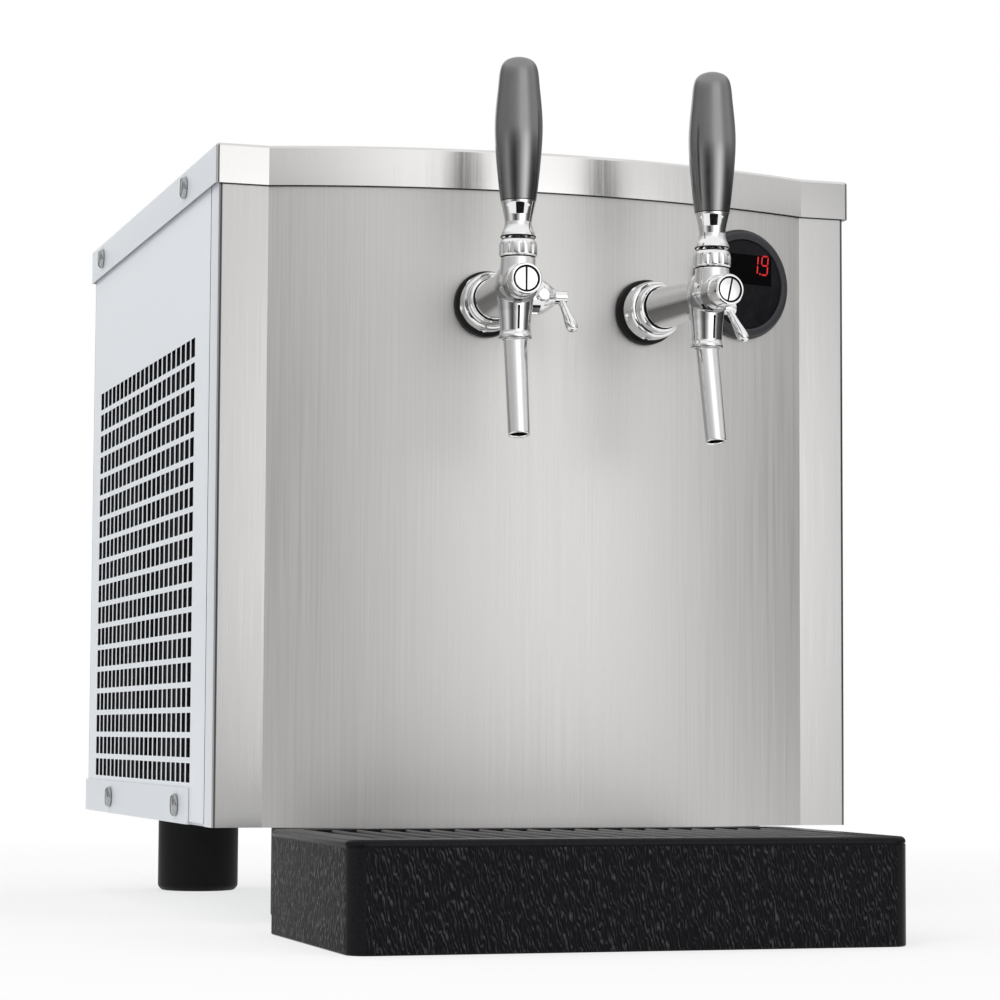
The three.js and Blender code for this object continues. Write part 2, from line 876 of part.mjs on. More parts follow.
// The lever: finger, stem, pivot ball and the waisted ferrule under the handle.
function addLever(tap, name) {
  const ball = pivotBall / 2;
  const stem = stemDiameter / 2;
  const upper = stemUpperDiameter / 2;
  const skirt = skirtDiameter / 2;
  const skirtLow = Math.sqrt(skirtClearance ** 2 - skirt ** 2);
  const underMiddle = (upper + skirt) / 2;
  const waist = waistDiameter / 2;
  const top = ferruleDiameter / 2;
  const tip = fingerBall / 2;
  const onBall = (radius) => Math.sqrt(ball ** 2 - radius ** 2);
  const onSkirt = (radius) => Math.sqrt(skirtClearance ** 2 - radius ** 2);
  const profile = [
    [0, -fingerDrop - tip],
    [tip / 2, -fingerDrop - tip],
    [tip, -fingerDrop],
    [stem, -fingerDrop + tip / 2],
    [stem, -onBall(stem)],
    [ball * Math.SQRT1_2, -ball * Math.SQRT1_2],
    [ball, 0],
    [ball * Math.SQRT1_2, ball * Math.SQRT1_2],
    [upper, onBall(upper)],
    [upper, onSkirt(upper)],
    [underMiddle, onSkirt(underMiddle)],
    [skirt, skirtLow],
    [(skirt + waist) / 2, (skirtLow + waistHeight) / 2 - stem / 2],
    [waist, waistHeight],
    [(waist * 3 + top) / 4, (waistHeight + ferruleTop) / 2],
    [top, ferruleTop],
    [studDiameter / 2, ferruleTop],
    [studDiameter / 2, ferruleTop + studLength],
    [0, ferruleTop + studLength],
  ];
  piece(tap, `${name}_lever`, turned(profile, mediumRound).translate(0, -leverReach, pivotHeight), chrome);
}

function addHandle(tap, name) {
  const bottom = ferruleTop + seat;
  const bore = studDiameter / 2 + seat;
  const skin = handleHeightShares.map((share, i) => [
    (handleBelly / 2) * handleWidthShares[i],
    bottom + share * handleLength,
  ]);
  const profile = [
    [0, bottom + studLength + seat],
    [bore, bottom + studLength + seat],
    [bore, bottom],
    ...skin,
    [0, bottom + handleLength],
  ];
  const handle = turned(profile, mediumRound).translate(0, -leverReach, pivotHeight);
  piece(tap, `${name}_handle`, handle, blackGloss);
}

// The nozzle: an upright plug inside the outlet and a tapered tube that leans forward below it.
function addNozzle(tap, name) {
  const plug = rod(outletBore - 2 * seat, 0, nozzlePlugHeight, mediumRound);
  const length = (nozzleDrop - outletDrop) / Math.cos(nozzleTilt);
  const lean = (geometry) => geometry.rotateX(-nozzleTilt);
  const pipe = lean(
    new THREE.CylinderGeometry(nozzleTopDiameter / 2, nozzleTipDiameter / 2, length, mediumRound)
      .rotateX(quarterTurn)
      .translate(0, 0, -length / 2),
  );
  const nozzle = cut(
    join(plug, pipe),
    rod(nozzleBore, 0, nozzlePlugHeight + overrun, smallRound),
    lean(rod(nozzleBore, -length - overrun, overrun, smallRound)),
  );
  piece(tap, `${name}_nozzle`, nozzle, chrome).position.set(0, -outletReach, -outletDrop + seat);
}

function addCompensator(tap, name) {
  const place = (geometry) => sideways(geometry).translate(0, -compensatorReach, 0);
  const bore = spindleDiameter / 2 + seat;
  const r = compensatorNutDiameter / 2;
  const start = bossReach + seat;
  const nut = turned(
    [
      [bore, start],
      [r, start],
      [r, compensatorNutShoulder],
      [(r * 3 + compensatorNutTip / 2) / 4, (compensatorNutShoulder + compensatorNutEnd) / 2],
      [compensatorNutTip / 2, compensatorNutEnd],
      [bore, compensatorNutEnd],
      [bore, start],
    ],
    mediumRound,
  );
  const stopCentre = (start + compensatorNutShoulder + compensatorNutEnd) / 3;
  const stop = outwards(rod(stopDiameter, bore + seat, stopReach, smallRound))
    .translate(stopCentre, -compensatorReach, 0);
  piece(tap, `${name}_compensator_nut`, join(place(nut), stop), chrome);

  const discStart = barrelBore / 2 - seat;
  const hubStart = compensatorNutEnd + seat;
  const hubEnd = hubStart + spindleHubLength;
  const spindle = turned(
    [
      [0, discStart],
      [spindleDiscDiameter / 2, discStart],
      [spindleDiscDiameter / 2, bossReach],
      [spindleDiameter / 2, bossReach],
      [spindleDiameter / 2, hubStart],
      [spindleHubDiameter / 2, hubStart],
      [spindleHubDiameter / 2, hubEnd],
      [0, hubEnd],
    ],
    mediumRound,
  );
  const crank = rod(crankPinDiameter, discStart - crankPinLength, discStart + seat, smallRound)
    .translate(-crankOffset * Math.cos(crankAngle), crankOffset * Math.sin(crankAngle), 0);
  const tip = sideLeverTipDiameter / 2;
  const root = sideLeverRootDiameter / 2;
  const arm = turned(
    [[0, 0], [root, 0], [root, -spindleHubDiameter / 2], [tip, -sideLeverLength + tip],
      [tip * Math.SQRT1_2, -sideLeverLength], [0, -sideLeverLength - tip * (1 - Math.SQRT1_2)]],
    smallRound,
  )
    .rotateY(-sideLeverSplay)
    .rotateX(-sideLeverLean)
    .translate((hubStart + hubEnd) / 2, -compensatorReach, 0);
  piece(tap, `${name}_compensator_lever`, join(place(spindle), place(crank), arm), chrome);

  const coneEnd = coneRear + coneLength;
  const grooveStart = compensatorReach - coneGroove / 2;
  const grooveEnd = compensatorReach + coneGroove / 2;
  const cone = turned(
    [
      [0, coneRear],
      [coneNoseDiameter / 2, coneRear],
      [coneDiameter / 2, (coneRear + grooveStart) / 2],
      [coneDiameter / 2, grooveStart],
      [coneCoreDiameter / 2, grooveStart],
      [coneCoreDiameter / 2, grooveEnd],
      [coneDiameter / 2, grooveEnd],
      [coneDiameter / 2, coneEnd],
      [0, coneEnd],
    ],
    smallRound,
  );
  piece(tap, `${name}_compensator_cone`, outwards(cone), whiteFoam);
}

// The lever's pull from rest to full flow.
const pourAngle = 28 * degree;

function addTaps() {
  for (const [name, x] of Object.entries({ left_tap: tapLeftX, right_tap: tapRightX })) {
    const { y, angle } = bowAt(x);
    const tap = new THREE.Group();
    tap.position.set(x, y, tapHeight);
    tap.rotation.z = angle;
    cabinet.add(tap);
    addShank(tap, name);
    addFlange(tap, name);
    addTapBody(tap, name);
    addFrontCap(tap, name);
    addValveShaft(tap, name);
    addCollarNut(tap, name);
    addLever(tap, name);
    addHandle(tap, name);
    addNozzle(tap, name);
    addCompensator(tap, name);
    const line = tube(beerLineDiameter, beerLineBore, shankTail + seat, lineEnd(y, angle), smallRound);
    piece(tap, `${name}_beer_line`, line.rotateX(-quarterTurn), zincSteel);
  }
}

// Where a beer line that runs square to the panel ends, just short of the cooling block's face.
function lineEnd(y, angle) {
  const lost = seat + (beerLineDiameter / 2) * Math.abs(Math.tan(angle));
  return (blockFront - y) / Math.cos(angle) - lost;
}

function addThermostat() {
  const { y, angle } = bowAt(displayX);
  const group = new THREE.Group();
  group.position.set(displayX, y, displayHeight);
  group.rotation.z = angle;
  cabinet.add(group);
  const r = bezelDiameter / 2;
  const inner = bezelInner / 2;
  const front = seat + bezelThickness;
  const ledge = front - windowRecess - windowThickness;
  const body = turned(
    [
      [0, -caseDepth],
      [caseDiameter / 2, -caseDepth],
      [caseDiameter / 2, seat],
      [r, seat],
      [r, front - bezelEdge],
      [r - bezelEdge, front],
      [inner, front],
      [inner, ledge],
      [0, ledge],
    ],
    largeRound,
  );
  piece(group, "thermostat_case", outwards(body), blackRubber);
  const window = rod(bezelInner - 2 * seat, ledge + seat, ledge + windowThickness, largeRound);
  piece(group, "thermostat_window", outwards(window), darkGlass);
}

function addCoolingBlock() {
  const floor = sheet + seat;
  const block1 = block(blockLeft, blockRight, blockFront, blockRear, blockBottom, blockTop);
  const leftLeg = block(blockLeft, blockLeft + legThickness, blockFront, blockRear, floor, blockTop);
  const rightLeg = block(blockRight - legThickness, blockRight, blockFront, blockRear, floor, blockTop);
  piece(cabinet, "cooling_block", join(block1, leftLeg, rightLeg), whiteFoam);
}

function addCompressor() {
  const floor = sheet + seat;
  const r = compressorDiameter / 2;
  const plateTop = floor + grommetHeight;
  const canStart = plateTop - compressorPlate;
  const canTop = floor + compressorHeightShare * cabinetHeight;
  const compressorX = half - compressorSideInset;
  const compressorY = cabinetDepth - compressorRearInset;
  const seam = (canStart + canTop) / 2;
  const can = turned(
    [
      [0, canStart],
      [r * 0.8, canStart],
      [r - compressorSeam, canStart + r / 4],
      [r - compressorSeam, seam],
      [r, seam],
      [r, seam + compressorSeam],
      [r - compressorSeam, seam + compressorSeam],
      [r - compressorSeam, canTop - r / 2],
      [r * 0.6, canTop],
      [0, canTop],
    ],
    mediumRound,
  );
  const spread = grommetSpacing / 2;
  const plateHalf = spread + grommetDiameter / 2;
  const plate = block(-plateHalf, plateHalf, -plateHalf, plateHalf, canStart, plateTop);
  const grommets = [];
  for (const x of [-spread, spread]) {
    for (const y of [-spread, spread]) {
      grommets.push(rod(grommetDiameter, floor, plateTop, smallRound).translate(x, y, 0));
    }
  }
  const hollow = 2 * (r - compressorSeam - compressorWall);
  const inside = rod(hollow, canStart - overrun, canTop - r / 4 - compressorWall, mediumRound);
  const shell = cut(join(can, plate, ...grommets), inside);
  const compressor = piece(cabinet, "compressor", shell, blackPaint);
  compressor.position.set(compressorX, compressorY, 0);

  const lineX = compressorX;
  const bend = suctionLineDiameter * 3;
  const top = blockBottom + bend;
  const path = new THREE.CurvePath();
  const corner = new THREE.Vector3(lineX, compressorY - r / 4, top);
  const start = new THREE.Vector3(lineX, corner.y, canTop + seat);
  const beforeBend = new THREE.Vector3(lineX, corner.y, top - bend);
  const afterBend = new THREE.Vector3(lineX, corner.y - bend, top);
  const end = new THREE.Vector3(lineX, blockRear + seat, top);
  path.add(new THREE.LineCurve3(start, beforeBend));
  path.add(new THREE.QuadraticBezierCurve3(beforeBend, corner, afterBend));
  path.add(new THREE.LineCurve3(afterBend, end));
  const section = new THREE.Shape();
  section.absarc(0, 0, suctionLineDiameter / 2, 0, 2 * Math.PI, false);
  const line = new THREE.ExtrudeGeometry(section, { extrudePath: path, steps: bowSteps, curveSegments: 4 });
  piece(cabinet, "suction_line", line, zincSteel);
}

// Condenser core with fins, the shroud on its inner face, and the fan with its motor.
function addCondenser() {
  const outer = -half + sheet + condenserGap;
  const inner = outer + condenserThickness;
  const floor = sheet + seat;
  const condenserFront = condenserFrontMargin;
  const condenserRear = cabinetDepth - condenserRearMargin;
  const condenserBottom = condenserBottomMargin;
  const condenserTop = cabinetHeight - condenserTopMargin;
  const slots = [];
  const slotBottom = condenserBottom + finFrame;
  const slotTop = condenserTop - finFrame;
  const pitch = (condenserRear - condenserFront) / condenserSlots;
  for (let i = 0; i < condenserSlots; i++) {
    const y = condenserFront + (i + 1 / 2) * pitch;
    const width = (pitch * finGapShare) / 2;
    slots.push(block(outer - overrun, inner + overrun, y - width, y + width, slotBottom, slotTop));
  }
  const core = cut(
    block(outer, inner, condenserFront, condenserRear, condenserBottom, condenserTop),
    mergeGeometries(slots),
  );
  const plate = (y) => block(outer, inner, y - endPlate, y + endPlate, floor, condenserTop + finFrame);
  piece(cabinet, "condenser", join(core, plate(condenserFront), plate(condenserRear)), darkFins);

  const fanY = (condenserFront + condenserRear) / 2;
  const fanHeight = (condenserBottom + condenserTop) / 2;
  const plateStart = inner + seat;
  const ringEnd = plateStart + shroudRing;
  const opening = fanDiameter + 2 * fanTipClearance;
  const disc = (diameter, from, to) =>
    sideways(rod(diameter, from, to, largeRound)).translate(0, fanY, fanHeight);
  const shroud = cut(
    join(
      block(plateStart, plateStart + shroudPlate, condenserFront, condenserRear, floor, condenserTop),
      disc(opening + 2 * shroudPlate, plateStart, ringEnd),
    ),
    disc(opening, plateStart - overrun, ringEnd + overrun),
  );
  piece(cabinet, "fan_shroud", shroud, blackPaint);

  const hubStart = plateStart + shroudGap;
  const hubMiddle = hubStart + hubLength / 2;
  const tipRadius = Math.sqrt((fanDiameter / 2) ** 2 - (bladeChord / 2) ** 2);
  const blade = (turn) => {
    const rings = [hubDiameter / 2 - bladeThickness, fanDiameter / 4, tipRadius].map((radius, i) => {
      const pitchHere = bladePitch - (i * bladeTwist) / 2;
      const along = new THREE.Vector3(Math.sin(pitchHere), Math.cos(pitchHere), 0);
      const across = new THREE.Vector3(-along.y, along.x, 0);
      const chord = ((bladeChord / 2) * (i + 2)) / 4;
      const middle = new THREE.Vector3(0, 0, radius);
      return [[-1, -1], [1, -1], [1, 1], [-1, 1]].map(([c, t]) =>
        middle.clone().addScaledVector(along, c * chord).addScaledVector(across, (t * bladeThickness) / 2),
      );
    });
    return loft(rings).rotateX(turn);
  };
  const hub = sideways(rod(hubDiameter, -hubLength / 2, hubLength / 2, smallRound));
  const blades = [];
  for (let i = 0; i < bladeCount; i++) blades.push(blade((4 * quarterTurn * i) / bladeCount));
  const boreCut = sideways(rod(motorShaftDiameter + 2 * seat, 0, hubLength, smallRound));
  const fan = piece(cabinet, "fan_blades", cut(join(hub, ...blades), boreCut), blackPaint);
  fan.position.set(hubMiddle, fanY, fanHeight);

  const motorStart = hubStart + hubLength + motorGap;
  const motorEnd = motorStart + motorLength;
  const motor = sideways(rod(motorDiameter, motorStart, motorEnd, mediumRound));
  const shaft = sideways(rod(motorShaftDiameter, hubMiddle + seat, motorStart + seat, smallRound));
  const motorBody = join(motor, shaft).translate([0, fanY, fanHeight]);
  const bracket = (from, top) =>
    block(from, motorEnd, fanY - bracketWidth / 2, fanY + bracketWidth / 2, floor, top);
  const foot = bracket(motorStart, floor + bracketThickness);
  const post = bracket(motorEnd - bracketThickness, fanHeight);
  piece(cabinet, "fan_motor", join(motorBody, foot, post), zincSteel);
}

// Beer inlets through the rear panel, each with its line to the cooling block, and the cord gland.
function addRearFittings() {
  const toRear = (geometry, x, z) => geometry.rotateX(-quarterTurn).translate(x, 0, z);
  for (const side of ["left", "right"]) {
    const nutStart = cabinetDepth + seat;
    const nutEnd = nutStart + inletNutThickness;
    const inlet = cut(
      join(
        rod(beerLineDiameter, blockRear + seat, nutEnd, smallRound),
        rod(inletNutAcross / Math.cos(quarterTurn / 3), nutStart, nutEnd, 6),
        rod(inletBarbDiameter, nutEnd - overrun, cabinetDepth + inletReach, smallRound),
      ),
      rod(beerLineBore, blockRear, cabinetDepth + inletReach + overrun, smallRound),
    );
    const placed = inlet.rotate([-90, 0, 0]).translate([inletX(side), 0, cabinetHeight - inletDrop]);
    piece(cabinet, `beer_inlet_${side}`, placed, zincSteel);
  }
  const bore = glandBore / 2;
  const gland = turned(
    [
      [bore, cabinetDepth - glandDepth],
      [glandHole / 2, cabinetDepth - glandDepth],
      [glandHole / 2, cabinetDepth + seat],
      [glandDiameter / 2, cabinetDepth + seat],
      [glandDiameter / 2, cabinetDepth + seat + glandLip],
      [bore, cabinetDepth + seat + glandLip],
      [bore, cabinetDepth - glandDepth],
    ],
    smallRound,
  );
  piece(cabinet, "cord_gland", toRear(gland, -half + glandInset, glandHeight), blackRubber);
}

// The drip tray, a moulded box with a ledge inside its rim, and the wire grid that lies on it.
function addTray() {
  const group = new THREE.Group();
  group.position.set(trayOffset, -trayGap - trayDepth / 2, 0);
  machine.add(group);
  const ring = (inset, z) =>
    roundedRectangle(trayWidth - 2 * inset, trayDepth - 2 * inset, trayCorner - inset, bendSteps)
      .map(([x, y]) => new THREE.Vector3(x, y, z));
  const soft = trayEdge * (1 - Math.SQRT1_2);
  const outer = loft([
    ring(0, 0),
    ring(0, trayHeight - trayEdge),
    ring(soft, trayHeight - soft),
    ring(trayEdge, trayHeight),
  ]);
  const recessDepth = gridDrop + rodDiameter - rodBite + crossHeight + seat;
  const openWidth = trayWidth - 2 * trayRim;
  const openDepth = trayDepth - 2 * trayRim;
  const recess = prism(
    roundedRectangle(openWidth, openDepth, recessCorner, 1),
    trayHeight - recessDepth,
    trayHeight + overrun,
  );
  const basin = prism(
    roundedRectangle(openWidth - 2 * trayLedge, openDepth - 2 * trayLedge, recessCorner, 1),
    trayFloor,
    trayHeight,
  );
  const skins = 2 * traySkin;
  const grooveOuter = roundedRectangle(trayWidth - skins, trayDepth - skins, trayCorner - traySkin, 1);
  const wallOuter = 2 * (trayLedge - traySkin);
  const core = roundedRectangle(openWidth - wallOuter, openDepth - wallOuter, trayEdge, 1);
  const groove = cut(
    prism(grooveOuter, -overrun, trayHeight - recessDepth - traySkin),
    prism(core, -2 * overrun, trayHeight),
  );
  piece(group, "drip_tray", cut(outer, recess, basin, groove), blackGrained);

  const rodTop = trayHeight - gridDrop;
  const rodMiddle = rodTop - rodDiameter / 2;
  const crossTop = rodTop - rodDiameter + rodBite;
  const reachX = openWidth / 2 - gridPlay;
  const reachY = openDepth / 2 - gridPlay;
  const firstRod = reachX - rodDiameter / 2;
  const pitch = (2 * firstRod) / (gridRods - 1);
  const bars = [];
  for (let i = 0; i < crossBars; i++) {
    const y = (reachY - crossInset) * ((2 * i) / (crossBars - 1) - 1);
    const width = crossHeight / 2;
    bars.push(block(-reachX, reachX, y - width, y + width, crossTop - crossHeight, crossTop));
  }
  const rods = [];
  const rodRadius = rodDiameter / 2;
  for (let i = 0; i < gridRods; i++) {
    const x = -firstRod + i * pitch;
    const wire = new THREE.CylinderGeometry(rodRadius, rodRadius, 2 * reachY, rodSides);
    rods.push(wire.translate(x, 0, rodMiddle));
  }
  piece(group, "drip_grid", join(mergeGeometries(bars), mergeGeometries(rods)), blackWire);
}

addBasePan();
addFrontPanel();
addSidePanels();
addRearPanel();
addCover();
addFeet();
addScrews();
addTaps();
addThermostat();
addCoolingBlock();
addCompressor();
addCondenser();
addRearFittings();
addTray();

export default root;
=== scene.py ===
# %% [markdown]
# # A countertop beer cooler, dressed in Blender
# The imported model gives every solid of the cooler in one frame: metres, Z up, the taps towards -Y. Here
# each solid gets a finish, and finer skins are laid over the front, the cover, the two chrome taps, the
# round display and the drip tray. Each step says what the real piece is, and then how it is made.

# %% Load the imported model
from math import asin, cos, hypot, pi, radians, sin, sqrt
import bmesh
import bpy
from mathutils import Matrix, Vector


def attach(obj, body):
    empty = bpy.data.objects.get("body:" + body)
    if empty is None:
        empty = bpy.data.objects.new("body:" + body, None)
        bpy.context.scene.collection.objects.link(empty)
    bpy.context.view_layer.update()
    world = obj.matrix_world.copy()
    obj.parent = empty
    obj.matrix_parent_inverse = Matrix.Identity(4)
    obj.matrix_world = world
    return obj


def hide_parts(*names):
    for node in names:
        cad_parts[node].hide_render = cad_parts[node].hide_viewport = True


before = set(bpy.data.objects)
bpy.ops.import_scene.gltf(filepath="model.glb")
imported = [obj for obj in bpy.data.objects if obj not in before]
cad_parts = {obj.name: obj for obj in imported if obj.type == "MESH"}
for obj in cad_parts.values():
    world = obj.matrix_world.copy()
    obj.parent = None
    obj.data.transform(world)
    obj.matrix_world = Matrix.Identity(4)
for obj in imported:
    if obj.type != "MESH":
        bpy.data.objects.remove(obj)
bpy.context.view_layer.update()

# %% [markdown]
# ## Where things are
# The cooler is drawn in millimetres, from its two flat front edges and its bottom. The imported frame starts
# on the ground under the middle of the set, so two shifts and one factor lead from one to the other.

# %% Sizes that several pieces share
MM = 0.001
SIDES = ("left", "right")
FRONT_SHIFT = -96.0
FOOT = 56.0
WIDTH, DEPTH, HEIGHT = 400.0, 426.0, 403.0
SHEET = 1.2
OVERHANG, SKIRT = 2.5, 24.0
BOW_HALF, BOW_RISE = 170.0, 30.0
BOW_RADIUS = (BOW_HALF**2 + BOW_RISE**2) / (2 * BOW_RISE)
BOW_CENTRE = BOW_RADIUS - BOW_RISE
FLAT = Matrix.Identity(4)
OUTWARD = Matrix.Rotation(pi / 2, 4, "X")
SIDEWAYS = Matrix.Rotation(pi / 2, 4, "Y")


def shifted(x, y, z):
    """A move by millimetres."""
    return Matrix.Translation(Vector((x, y, z)) * MM)


def cabinet_place(x, y, z, turn=0.0):
    """The matrix of a spot on the cabinet, given in millimetres from its front flats and its bottom."""
    return shifted(x, y + FRONT_SHIFT, z + FOOT) @ Matrix.Rotation(turn, 4, "Z")


def bow_place(x, z):
    """The matrix of a spot on the bowed front, square to the sheet there."""
    return cabinet_place(x, BOW_CENTRE - sqrt(BOW_RADIUS**2 - x**2), z, asin(x / BOW_RADIUS))


def added(name, data):
    """A new object in the scene."""
    thing = bpy.data.objects.new(name, data)
    bpy.context.scene.collection.objects.link(thing)
    return thing


print("bow radius", round(BOW_RADIUS), "mm")

# %% [markdown]
# ## The camera
# A photograph of a box can be turned back into a camera: the corners of the cover, the folds of the front
# and the feet fix the lens, the place and the tilt. This lens is a long one, so the cabinet's sides run
# almost parallel, and it looks slightly upwards from the height of the drip tray.

# %% Set the camera at the photograph's place
YAW, PITCH, ROLL = 0.302, 0.077, 0.005
AIM, AWAY = (-25.3, FRONT_SHIFT, 55.7 + FOOT), 1817.2
PICTURE, FOCAL = 1000, 3022
forward = Vector((sin(YAW) * cos(PITCH), cos(YAW) * cos(PITCH), sin(PITCH)))
level_right = Vector((cos(YAW), -sin(YAW), 0))
level_up = level_right.cross(forward)
right = level_right * cos(ROLL) + level_up * sin(ROLL)
up = level_up * cos(ROLL) - level_right * sin(ROLL)
eye = (Vector(AIM) - Vector((sin(YAW), cos(YAW), 0)) * AWAY) * MM

lens = bpy.data.cameras.new("camera")
lens.sensor_width = 36.0
lens.lens = FOCAL * lens.sensor_width / PICTURE
lens.clip_end = 100
camera = added("camera", lens)
camera.matrix_world = Matrix([(right[i], up[i], -forward[i], eye[i]) for i in range(3)] + [(0, 0, 0, 1)])
bpy.context.scene.camera = camera
print("lens", round(lens.lens, 1), "mm, at", [round(v, 3) for v in eye])

# %% [markdown]
# ## Skins over rings
# Nearly every fine piece is a skin over rings of points: circles for a turned knob, its outline for the
# cover, rounded rectangles for the tray. One helper builds it, closes its ends and marks sharp edges, so
# that the shading stays crisp at corners and soft on curves.

# %% Build a mesh from rings of points
def crisp(mesh, sharp):
    """Smooth shading that breaks at edges sharper than a number of degrees."""
    mesh.shade_smooth()
    mesh.set_sharp_from_angle(angle=radians(sharp))


def skin(name, rings, close_start=True, close_end=True, joined=False, sharp=35):
    """A mesh over equally long rings of millimetre points; joined ties the last ring to the first."""
    mesh = bpy.data.meshes.new(name)
    count = len(rings[0])
    points = [Vector(p) * MM for ring in rings for p in ring]
    faces = []
    pairs = [(r, r + 1) for r in range(len(rings) - 1)]
    if joined:
        pairs.append((len(rings) - 1, 0))
    for low, high in pairs:
        for i in range(count):
            j = (i + 1) % count
            faces.append((low * count + i, low * count + j, high * count + j, high * count + i))
    if close_start and not joined:
        faces.append(tuple(range(count - 1, -1, -1)))
    if close_end and not joined:
        faces.append(tuple((len(rings) - 1) * count + i for i in range(count)))
    mesh.from_pydata(points, [], faces)
    work = bmesh.new()
    work.from_mesh(mesh)
    bmesh.ops.remove_doubles(work, verts=work.verts, dist=1e-6)
    bmesh.ops.recalc_face_normals(work, faces=work.faces)
    work.to_mesh(mesh)
    work.free()
    crisp(mesh, sharp)
    return added(name, mesh)


def softened(profile, radius=0.5, steps=3):
    """A profile whose inner corners are rounded, as cast, turned or moulded edges are."""
    out = [Vector(profile[0])]
    for before, here, after in zip(profile, profile[1:], profile[2:]):
        here = Vector(here)
        back, on = Vector(before) - here, Vector(after) - here
        reach = min(radius, back.length * 0.45, on.length * 0.45)
        start, end = here + back.normalized() * reach, here + on.normalized() * reach
        for i in range(steps + 1):
            t = i / steps
            out.append(start * (1 - t) ** 2 + here * (2 * t * (1 - t)) + end * t**2)
    out.append(Vector(profile[-1]))
    return out


def around(radius, height, angles):
    """Points of a circle about Z, by their angles from the front."""
    return [(radius * sin(angle), -radius * cos(angle), height) for angle in angles]


def turned(name, profile, steps=64, sharp=35):
    """A turned piece about Z from (radius, height) pairs, in millimetres."""
    whole = [2 * pi * i / steps for i in range(steps)]
    rings = [around(max(radius, 1e-4), height, whole) for radius, height in profile]
    joined = Vector(profile[0]) == Vector(profile[-1])
    return skin(name, rings[:-1] if joined else rings, joined=joined, sharp=sharp)


def rod(name, radius, start, end, steps=32):
    """A straight round bar between two heights, to be joined or bored."""
    return turned(name, [(0, start), (radius, start), (radius, end), (0, end)], steps)


def prism(name, corners, heights, sharp=35):
    """An outline of (x, y) corners raised through a row of heights."""
    return skin(name, [[(x, y, z) for x, y in corners] for z in heights], sharp=sharp)


def ball_profile(radius, steps):
    """Half a circle, from the bottom of a ball to its top."""
    return [(radius * sin(pi * k / steps), -radius * cos(pi * k / steps)) for k in range(steps + 1)]


print("skins ready")

# %% [markdown]
# ## Putting a piece in place
# A fine piece follows the solid that it dresses when a lever is pulled or the tray slides out. One call
# places it and says which body it rides on, which solid it stands for and which finish slot it has. Where a
# hole is cut, the cutter goes once the cut is worked into the mesh.

# %% Place, ride, replace and dress
def fit(thing, place, finish, nodes=(), body="machine"):
    thing.matrix_world = place @ thing.matrix_world
    bpy.context.view_layer.update()
    thing.data.materials.clear()
    thing.data.materials.append(finish)
    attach(thing, body)
    if nodes:
        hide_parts(*nodes)
    return thing


def sorted_faces(thing, pick, *finishes):
    """Give a piece further finishes, and let pick choose each face's from its middle and its direction."""
    for finish in finishes:
        thing.data.materials.append(finish)
    for face in thing.data.polygons:
        face.material_index = pick(face.center / MM, face.normal)


def merged(name, things):
    """Several meshes as one object; the separate ones are removed."""
    work = bmesh.new()
    for thing in things:
        part = thing.data.copy()
        part.transform(thing.matrix_world)
        work.from_mesh(part)
        bpy.data.objects.remove(thing)
    mesh = bpy.data.meshes.new(name)
    work.to_mesh(mesh)
    work.free()
    return added(name, mesh)


def settled(thing):
    """The object's mesh with its modifiers worked in."""
    bpy.context.view_layer.update()
    graph = bpy.context.evaluated_depsgraph_get()
    mesh = bpy.data.meshes.new_from_object(thing.evaluated_get(graph))
    thing.modifiers.clear()
    thing.data = mesh


def carve(thing, tools, sharp=35):
    """Cut other objects out of a piece, and mark the new sharp edges."""
    for tool in tools:
        cutter = thing.modifiers.new("cut", "BOOLEAN")
        cutter.operation = "DIFFERENCE"
        cutter.object = tool
        cutter.solver = "EXACT"
    settled(thing)
    for tool in tools:
        bpy.data.objects.remove(tool)
    crisp(thing.data, sharp)
    return thing


def shape_of(thing):
    """The mesh of a piece, turned as the piece is, for pieces that share it. The object goes."""
    mesh = thing.data
    mesh.transform(thing.matrix_world)
    bpy.data.objects.remove(thing)
    return mesh


print("placing ready")

# %% [markdown]
# ## Materials from noise
# Object coordinates are in metres and stay with the piece, so a pattern made from them keeps its real
# scale. A stretched noise becomes brushed grain, a round one rubber or moulded plastic, and the same noise
# nudges the roughness, so that highlights break up as they do on a real surface.

# %% Helpers for node materials
def feed(target, *pairs):
    """Give a node's inputs their values, or link another node's output to them."""
    for key, value in pairs:
        socket = target.inputs[key]
        if isinstance(value, bpy.types.NodeSocket):
            target.id_data.links.new(value, socket)
        else:
            socket.default_value = (*value, 1) if socket.type == "RGBA" else value


def node(finish, kind, *pairs, **settings):
    """The outputs of a new shader node, set and fed."""
    made = finish.node_tree.nodes.new("ShaderNode" + kind)
    for key, value in settings.items():
        setattr(made, key, value)
    feed(made, *pairs)
    return made.outputs


def maths(finish, operation, *values):
    """One step of arithmetic on a pattern."""
    return node(finish, "Math", *enumerate(values), operation=operation)["Value"]


def new_finish(name, colour, roughness, metallic=0.0, shine=0.5):
    """A plain finish and its shader; shine is the strength of its reflection when it isn't metal."""
    finish = bpy.data.materials.new(name)
    finish.use_nodes = True
    shader = finish.node_tree.nodes["Principled BSDF"]
    feed(shader, ("Base Color", colour), ("Roughness", roughness), ("Metallic", metallic))
    shader.inputs["Specular IOR Level"].default_value = shine
    finish.diffuse_color = (*colour, 1)
    return finish, shader


def axes(finish, kind):
    """The three parts of a texture coordinate: of a place on the piece, or of its face's direction."""
    return node(finish, "SeparateXYZ", ("Vector", node(finish, "TexCoord")[kind]))


def stretched(finish, stretch):
    """Places on the piece, drawn out along the axes with a small factor."""
    place = node(finish, "TexCoord")["Object"]
    return node(finish, "Mapping", ("Vector", place), ("Scale", stretch))["Vector"]


